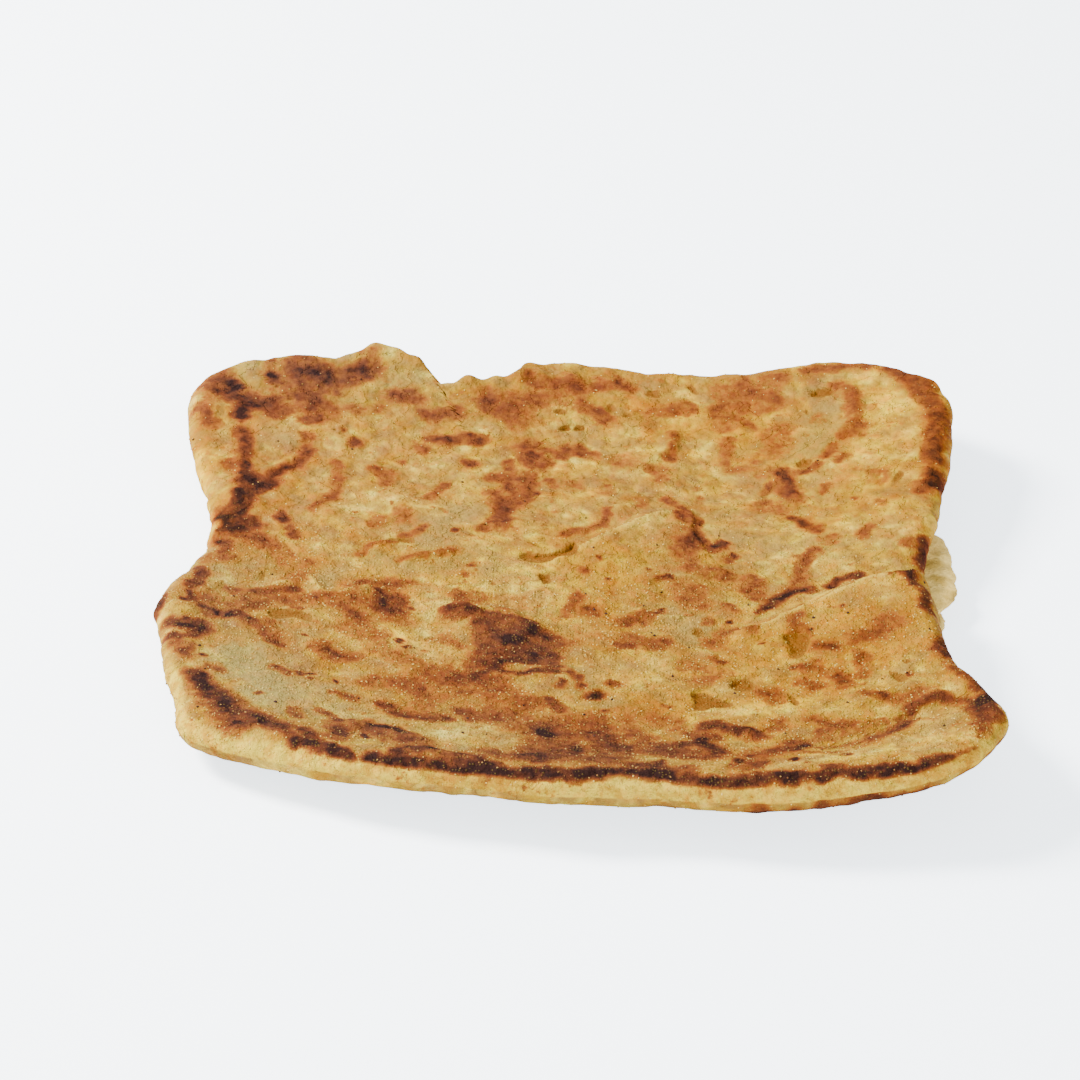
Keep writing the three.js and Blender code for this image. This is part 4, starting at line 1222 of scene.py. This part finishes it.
dough = mix_colour(tree, remap(tree, goldness, -0.03, 0.16, 0, 0.45), dough, dough_golden)
dough = mix_colour(tree, remap(tree, goldness, 0.0, 0.40, 0, 0.9), dough, golden_tint, "MULTIPLY")
# Flakes: ragged patches with crisp edges, where one thin ply ends and the next one shows.
flaky = noise(tree, mm, 8.5, 5, 0.56)
flake = remap(tree, flaky, 0.500, 0.520)
dough = brightened(tree, dough, multiply_add(tree, flake, 0.12, 0.95))
# Patches a little redder or greener, and yellower or greyer.
plain_white = colour(1, 1, 1)
hue = ramp(tree, noise(tree, mm, 5.0, 3, 0.5), [
    (0.37, olive), (0.5, plain_white), (0.63, reddish)])
dough = mix_colour(tree, 1.0, dough, hue, "MULTIPLY")
hue = multiply_add(tree, torn.outputs["Alpha"], 0.10, noise(tree, mm, 7.5, 3, 0.5))
hue = ramp(tree, hue, [(0.38, yellower), (0.5, plain_white), (0.64, greyer)])
dough = mix_colour(tree, 1.0, dough, hue, "MULTIPLY")
dull = remap(tree, noise(tree, mm, 5.5, 2, 0.5), 0.52, 0.70, 0, 0.6)
dough = mix_colour(tree, dull, dough, dough_dull)
greyness = multiply_add(tree, mottled, 1.2, channels.outputs[2])
dough = mix_colour(tree, remap(tree, greyness, 0.1, 0.9, 0, 0.8), dough, dough_grey)
crusted = remap(tree, noise(tree, mm, 3.0, 4, 0.6), 0.44, 0.62)
wall_dough = mix_colour(tree, crusted, raw_wall, wall_gold)
wall = math_node(tree, "MULTIPLY", edges.outputs[2], 0.9)
dough = mix_colour(tree, wall, dough, wall_dough)
# Painted highlight on the lips of torn edges, and painted shade at their foot.
dough = mix_colour(tree, math_node(tree, "MULTIPLY", edges.outputs[0], 0.75), dough, dough_cream)
dough = mix_colour(tree, math_node(tree, "MULTIPLY", edges.outputs[1], 0.7), dough, foot_shadow_brown)
rim = multiply_add(tree, freckled, 0.22, depths.outputs[0])
opening = remap(tree, rim, 0.47, 0.54)
# The lower ply's amber, darkened toward a blister's deep far side as painted shade.
lower_ply_and_shadow = ramp(tree, multiply_add(tree, freckled, 0.5, depths.outputs[1]), [
    (0.0, amber_light), (0.35, amber_mid), (0.9, amber_shadowed)])
dough = mix_colour(tree, opening, dough, lower_ply_and_shadow)
streaks = remap(tree, noise(tree, mm, 2.8, 3, 0.55), 0.54, 0.70)
patches = remap(tree, noise(tree, mm, 9, 2, 0.5), 0.42, 0.62)
streaks = math_node(tree, "MULTIPLY", streaks, patches)
toasted = multiply_add(tree, streaks, 0.20, channels.outputs[0])
toasted = math_node(tree, "MULTIPLY", toasted, multiply_add(tree, opening, -0.85, 1.0))
baked = node(tree, "ShaderNodeGroup", {"Place": mm, "Scorch": toasted, "Dough": dough},
             node_tree=browning)
grains = node(tree, "ShaderNodeGroup", {"Place": mm, "Amount": 0.45}, node_tree=semolina)
grain_share = math_node(tree, "MULTIPLY", grains.outputs["Mask"], dusted)
grain_share = math_node(tree, "MULTIPLY", grain_share,
                        remap(tree, baked.outputs["Char"], 0.1, 0.5, 0.16, 0.10))
hue = ramp(tree, noise(tree, mm, 2.6, 3, 0.5), [
    (0.36, olive), (0.5, plain_white), (0.64, reddish)])
varied = mix_colour(tree, 0.8, baked.outputs["Color"], hue, "MULTIPLY")
varied = mix_colour(tree, torn.outputs["Alpha"], varied, floury_tint, "MULTIPLY")
gilding = math_node(tree, "MULTIPLY", torn.outputs["Alpha"], -1.0, clamp=True)
varied = mix_colour(tree, gilding, varied, gilded_tint, "MULTIPLY")
# Painted light: the faces that lie in shade get a paler, less yellow tint.
shaded_side_share = node(tree, "ShaderNodeAttribute", attribute_name="shaded_side")
varied = mix_colour(tree, shaded_side_share.outputs["Fac"], varied, shaded_side_tint, "MULTIPLY")
grained = mix_colour(tree, grain_share, varied, grain_light)
fine = multiply_add(tree, freckled, 0.45, math_node(tree, "MULTIPLY", gritty, 0.35))
final = brightened(tree, grained, multiply_add(tree, fine, dusted, 1.0))
crumb = multiply_add(tree, grains.outputs["Height"], 0.7, math_node(tree, "MULTIPLY", freckled, 0.9))
crumbly = about_zero(tree, mm, 2.2, 2, 0.5)
bumpy = multiply_add(tree, crumb, dusted, math_node(tree, "MULTIPLY", mottled, 2.4))
bumpy = multiply_add(tree, crumbly, 1.3, bumpy)
bumpy = multiply_add(tree, flake, 0.5, bumpy)
roughness = remap(tree, baked.outputs["Char"], 0.0, 0.9, 0.62, 0.9)
finish(tree, final, roughness, bumpy, (0.9, 0.6 * MM), 0.02)

bread.data.materials.append(crust)
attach(bread, "root")
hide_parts("msemen")

# ==== The lower ply ====
# A tongue of a lower ply that slid out past the right edge when the packet was pressed. It
# lies under the bread's rim and stayed pale, as it never touched the pan.
ply_rings = 34
ply_lumps = [(0.45, 6), (0.32, 3), (0.20, 1.5)]
lower_plies = [
    # (middle, height of the edge, thickness, outline)
    ((84, 17), 5.0, 3.6, [(74, 30), (82, 36.5), (87.6, 38), (90, 36), (91.6, 32), (92.6, 24),
                          (93.2, 14), (92.4, 6.5), (90.8, 2), (88, -1.4), (82, -2), (74, 4)]),
    ((82, -6), 3.4, 1.6, [(74, 6), (82, 8), (88, 4), (90, -0.5), (89.8, -4), (89.3, -8),
                          (88.4, -13), (86.5, -17), (80, -16), (74, -10)]),
]


def flat_ply(middle, height, thickness, outline):
    """A thin ragged sheet with rounded edges: corners and triangles."""
    ring_number = np.arange(-ply_rings, ply_rings + 1)
    column, row = np.meshgrid(ring_number, ring_number)
    ring = np.maximum(np.abs(column), np.abs(row)).ravel() / ply_rings
    angle = np.arctan2(row, column).ravel()
    share = 0.35 * np.sin(math.pi / 2 * ring) + 0.65 * ring
    frill = 0.5 * soft_noise(np.cos(angle) * 14, np.sin(angle) * 14, 3, 71)
    frill += 0.35 * soft_noise(np.cos(angle) * 14, np.sin(angle) * 14, 1.2, 74)
    reach = (radial_outline(outline, middle)(angle)[0] + frill) * share
    x, y = middle[0] + reach * np.cos(angle), middle[1] + reach * np.sin(angle)
    half = thickness / 2 * np.sqrt(np.clip(1 - share ** 5, 0, 1))
    count = len(x)
    points = np.concatenate([np.stack([x, y, height + half], 1),
                             np.stack([x, y, height - half], 1)])
    first, second, _ = grid_cells(2 * ply_rings + 1)
    cells = np.concatenate([first, second])
    same = np.arange(2 * count)
    same[count:][ring == 1] = np.arange(count)[ring == 1]
    return without_spares(points, same[np.concatenate([cells, cells[:, ::-1] + count])])[:2]


ply_points, ply_faces = [], []
for sheet in lower_plies:
    points, faces = flat_ply(*sheet)
    ply_faces.append(faces + sum(len(earlier) for earlier in ply_points))
    ply_points.append(kneaded(points, faces, ply_lumps))
lower_ply = added("lower_ply", build_mesh(
    "lower_ply", np.concatenate(ply_points), np.concatenate(ply_faces)))

pale_dough, tree = new_material("pale lower ply")
mm = millimetres(tree)
cloudy = noise(tree, mm, 4, 3, 0.6)
freckled = noise(tree, mm, 0.9, 3, 0.6)
base = ramp(tree, cloudy, [(0.30, colour(0.50, 0.31, 0.052)), (0.48, colour(0.63, 0.42, 0.098)),
                           (0.66, colour(0.76, 0.54, 0.155))])
warmed = mix_colour(tree, remap(tree, noise(tree, mm, 6, 2, 0.5), 0.52, 0.68, 0, 0.6), base,
                    dough_straw)
grains = node(tree, "ShaderNodeGroup", {"Place": mm, "Amount": 0.3}, node_tree=semolina)
bumpy = math_node(tree, "ADD", grains.outputs["Height"], math_node(tree, "MULTIPLY", freckled, 1.6))
finish(tree, warmed, remap(tree, cloudy, 0.3, 0.7, 0.6, 0.75), bumpy, (0.7, 0.4 * MM), 0.08)
lower_ply.data.materials.append(pale_dough)
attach(lower_ply, "root")

# ==== Semolina grains and burnt crumbs ====
# Coarse semolina that the packet was pressed out on. It clings all over the crust, and some
# of it burnt to black specks in the pan.
grain_material, tree = new_material("semolina grain")
mm = millimetres(tree)
each = node(tree, "ShaderNodeTexWhiteNoise", {"Vector": node(
    tree, "ShaderNodeVectorMath", {0: mm, 1: (1.1, 1.1, 1.1)}, operation="SNAP").outputs[0]},
    noise_dimensions="3D").outputs["Value"]
under = node(tree, "ShaderNodeAttribute", attribute_name="crust")
under_scorch = node(tree, "ShaderNodeSeparateColor", {0: under.outputs["Color"]}).outputs[0]
light_grain = ramp(tree, each, [(0.0, dough_plain), (0.45, colour(0.32, 0.195, 0.030)),
                                (1.0, colour(0.50, 0.34, 0.085))])
dark_grain = ramp(tree, each, [(0.0, brown), (0.4, colour(0.12, 0.050, 0.016)),
                               (0.75, colour(0.20, 0.100, 0.028)), (1.0, colour(0.32, 0.19, 0.050))])
tint = mix_colour(tree, remap(tree, under_scorch, 0.15, 0.7), light_grain, dark_grain)
facet = noise(tree, mm, 0.3, 1, 0.5)
finish(tree, tint, remap(tree, facet, 0.3, 0.7, 0.5, 0.7), facet, (0.4, 0.1 * MM), 0.05)

crumb_material, tree = new_material("burnt crumb")
mm = millimetres(tree)
facet = noise(tree, mm, 0.5, 2, 0.5)
tint = mix_colour(tree, remap(tree, facet, 0.3, 0.7), char_black, char_brown)
finish(tree, tint, remap(tree, facet, 0.3, 0.7, 0.6, 0.85), facet, (0.5, 0.1 * MM), 0.15)


def scatter_tree(name):
    """Geometry Nodes: small lumps scattered over a surface by its grain attribute."""
    tree = bpy.data.node_groups.new(name, "GeometryNodeTree")
    for label, kind in (("Geometry", "Geometry"), ("Per Area", "Float"), ("Radius", "Float"),
                        ("Smallest", "Float"), ("Largest", "Float"), ("Seed", "Int"),
                        ("Material", "Material")):
        tree.interface.new_socket(label, in_out="INPUT", socket_type="NodeSocket" + kind)
    tree.interface.new_socket("Geometry", in_out="OUTPUT", socket_type="NodeSocketGeometry")
    given = node(tree, "NodeGroupInput").outputs
    weight = node(tree, "GeometryNodeInputNamedAttribute", {"Name": "grain"}, data_type="FLOAT")
    spread = node(tree, "GeometryNodeDistributePointsOnFaces", {
        "Mesh": given["Geometry"], "Seed": given["Seed"],
        "Density": math_node(tree, "MULTIPLY", weight.outputs[0], given["Per Area"])})
    lump = node(tree, "GeometryNodeMeshIcoSphere", {"Radius": given["Radius"], "Subdivisions": 1})
    low, high = (node(tree, "ShaderNodeCombineXYZ", {axis: given[label] for axis in "XYZ"})
                 for label in ("Smallest", "Largest"))
    size = node(tree, "FunctionNodeRandomValue", {
        "Min": low.outputs[0], "Max": high.outputs[0], "Seed": given["Seed"]},
        data_type="FLOAT_VECTOR")
    turn = node(tree, "FunctionNodeRandomValue", {
        "Max": (6.28, 6.28, 6.28), "Seed": given["Seed"]}, data_type="FLOAT_VECTOR")
    put = node(tree, "GeometryNodeInstanceOnPoints", {
        "Points": spread.outputs["Points"], "Instance": lump.outputs["Mesh"],
        "Rotation": turn.outputs["Value"], "Scale": size.outputs["Value"]})
    real = node(tree, "GeometryNodeRealizeInstances", {0: put.outputs[0]})
    painted = node(tree, "GeometryNodeSetMaterial", {
        "Geometry": real.outputs[0], "Material": given["Material"]})
    node(tree, "NodeGroupOutput", {0: painted.outputs[0]})
    return tree


scatter = scatter_tree("scatter grains")


def scattered(name, surface, values, material):
    """A plain mesh piece of what the tree scatters over a surface."""
    carrier = added(name + "_carrier", surface.data)
    modifier = carrier.modifiers.new("scatter", "NODES")
    modifier.node_group = scatter
    sockets = {item.name: item.identifier for item in scatter.interface.items_tree
               if item.item_type == "SOCKET" and item.in_out == "INPUT"}
    for label, value in values.items():
        modifier[sockets[label]] = value
    modifier[sockets["Material"]] = material
    carrier.update_tag()
    graph = bpy.context.evaluated_depsgraph_get()
    mesh = bpy.data.meshes.new_from_object(carrier.evaluated_get(graph))
    mesh.name = name
    bpy.data.objects.remove(carrier)
    return added(name, mesh)


per_square_metre = 1e6
semolina_grains = scattered(
    "semolina_grains", bread,
    {"Per Area": 0.34 * per_square_metre, "Radius": 0.26 * MM, "Smallest": 0.45,
     "Largest": 1.15, "Seed": 3}, grain_material)
burnt_crumbs = scattered(
    "burnt_crumbs", bread,
    {"Per Area": 0.003 * per_square_metre, "Radius": 0.4 * MM, "Smallest": 0.4,
     "Largest": 1.3, "Seed": 8}, crumb_material)
for piece in (semolina_grains, burnt_crumbs):
    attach(piece, "root")

# ==== The table, the light and the camera ====
# A plain near-white table, soft daylight from the upper left and an even cool fill. The
# camera looks down at the bread through a long lens, from 29 degrees above the table.
table_reach = 6.0
table_corners = [(-table_reach, -table_reach, 0), (table_reach, -table_reach, 0),
                 (table_reach, table_reach, 0), (-table_reach, table_reach, 0)]
table_mesh = bpy.data.meshes.new("table")
table_mesh.from_pydata(table_corners, [], [(0, 1, 2, 3)])
table = added("table", table_mesh)
table_paint, tree = new_material("pale table")
skin = node(tree, "ShaderNodeBsdfPrincipled", {
    "Base Color": colour(0.93, 0.95, 0.97), "Roughness": 0.6, "Specular IOR Level": 0.1})
glow = node(tree, "ShaderNodeEmission", {"Color": colour(0.82, 0.92, 1.0), "Strength": 2.6})
both = node(tree, "ShaderNodeAddShader", {0: skin.outputs[0], 1: glow.outputs[0]})
seen = node(tree, "ShaderNodeLightPath")
pick = node(tree, "ShaderNodeMixShader", {0: seen.outputs["Is Camera Ray"], 1: skin.outputs[0],
                                          2: both.outputs[0]})
node(tree, "ShaderNodeOutputMaterial", {"Surface": pick.outputs[0]})
table_mesh.materials.append(table_paint)


def aimed(obj, place, target):
    obj.location = place
    toward = Vector(target) - Vector(place)
    obj.rotation_euler = toward.to_track_quat("-Z", "Y").to_euler()


def soft_lamp(name, place, target, width, power, tint):
    lamp = bpy.data.lights.new(name, "AREA")
    lamp.shape = "SQUARE"
    lamp.size = width
    lamp.energy = power
    lamp.color = tint
    aimed(added(name, lamp), place, target)


soft_lamp("window", (-0.85, 0.20, 0.72), (0, 0, 0), 0.34, 58.0, (1.0, 0.99, 0.97))
soft_lamp("front fill", (0.0, -1.2, 0.35), (0, 0, 0), 0.9, 22.0, (1.0, 1.0, 1.0))
soft_lamp("side fill", (1.1, -0.3, 0.5), (0, 0, 0), 0.8, 8.0, (1.0, 1.0, 1.0))
sky = bpy.data.worlds.new("room")
sky.use_nodes = True
sky.node_tree.nodes["Background"].inputs["Color"].default_value = (0.86, 0.93, 1.0, 1)
sky.node_tree.nodes["Background"].inputs["Strength"].default_value = 1.1
bpy.context.scene.world = sky

camera_data = bpy.data.cameras.new("camera")
camera_data.sensor_width = 36
camera_data.lens = 168.3
camera_data.clip_end = 50
camera = added("camera", camera_data)
aimed(camera, (-0.00899, -1.06114, 0.60562), (-0.00899, -0.00285, 0.019))
camera.rotation_euler.rotate_axis("Z", math.radians(3.75))
bpy.context.scene.camera = camera
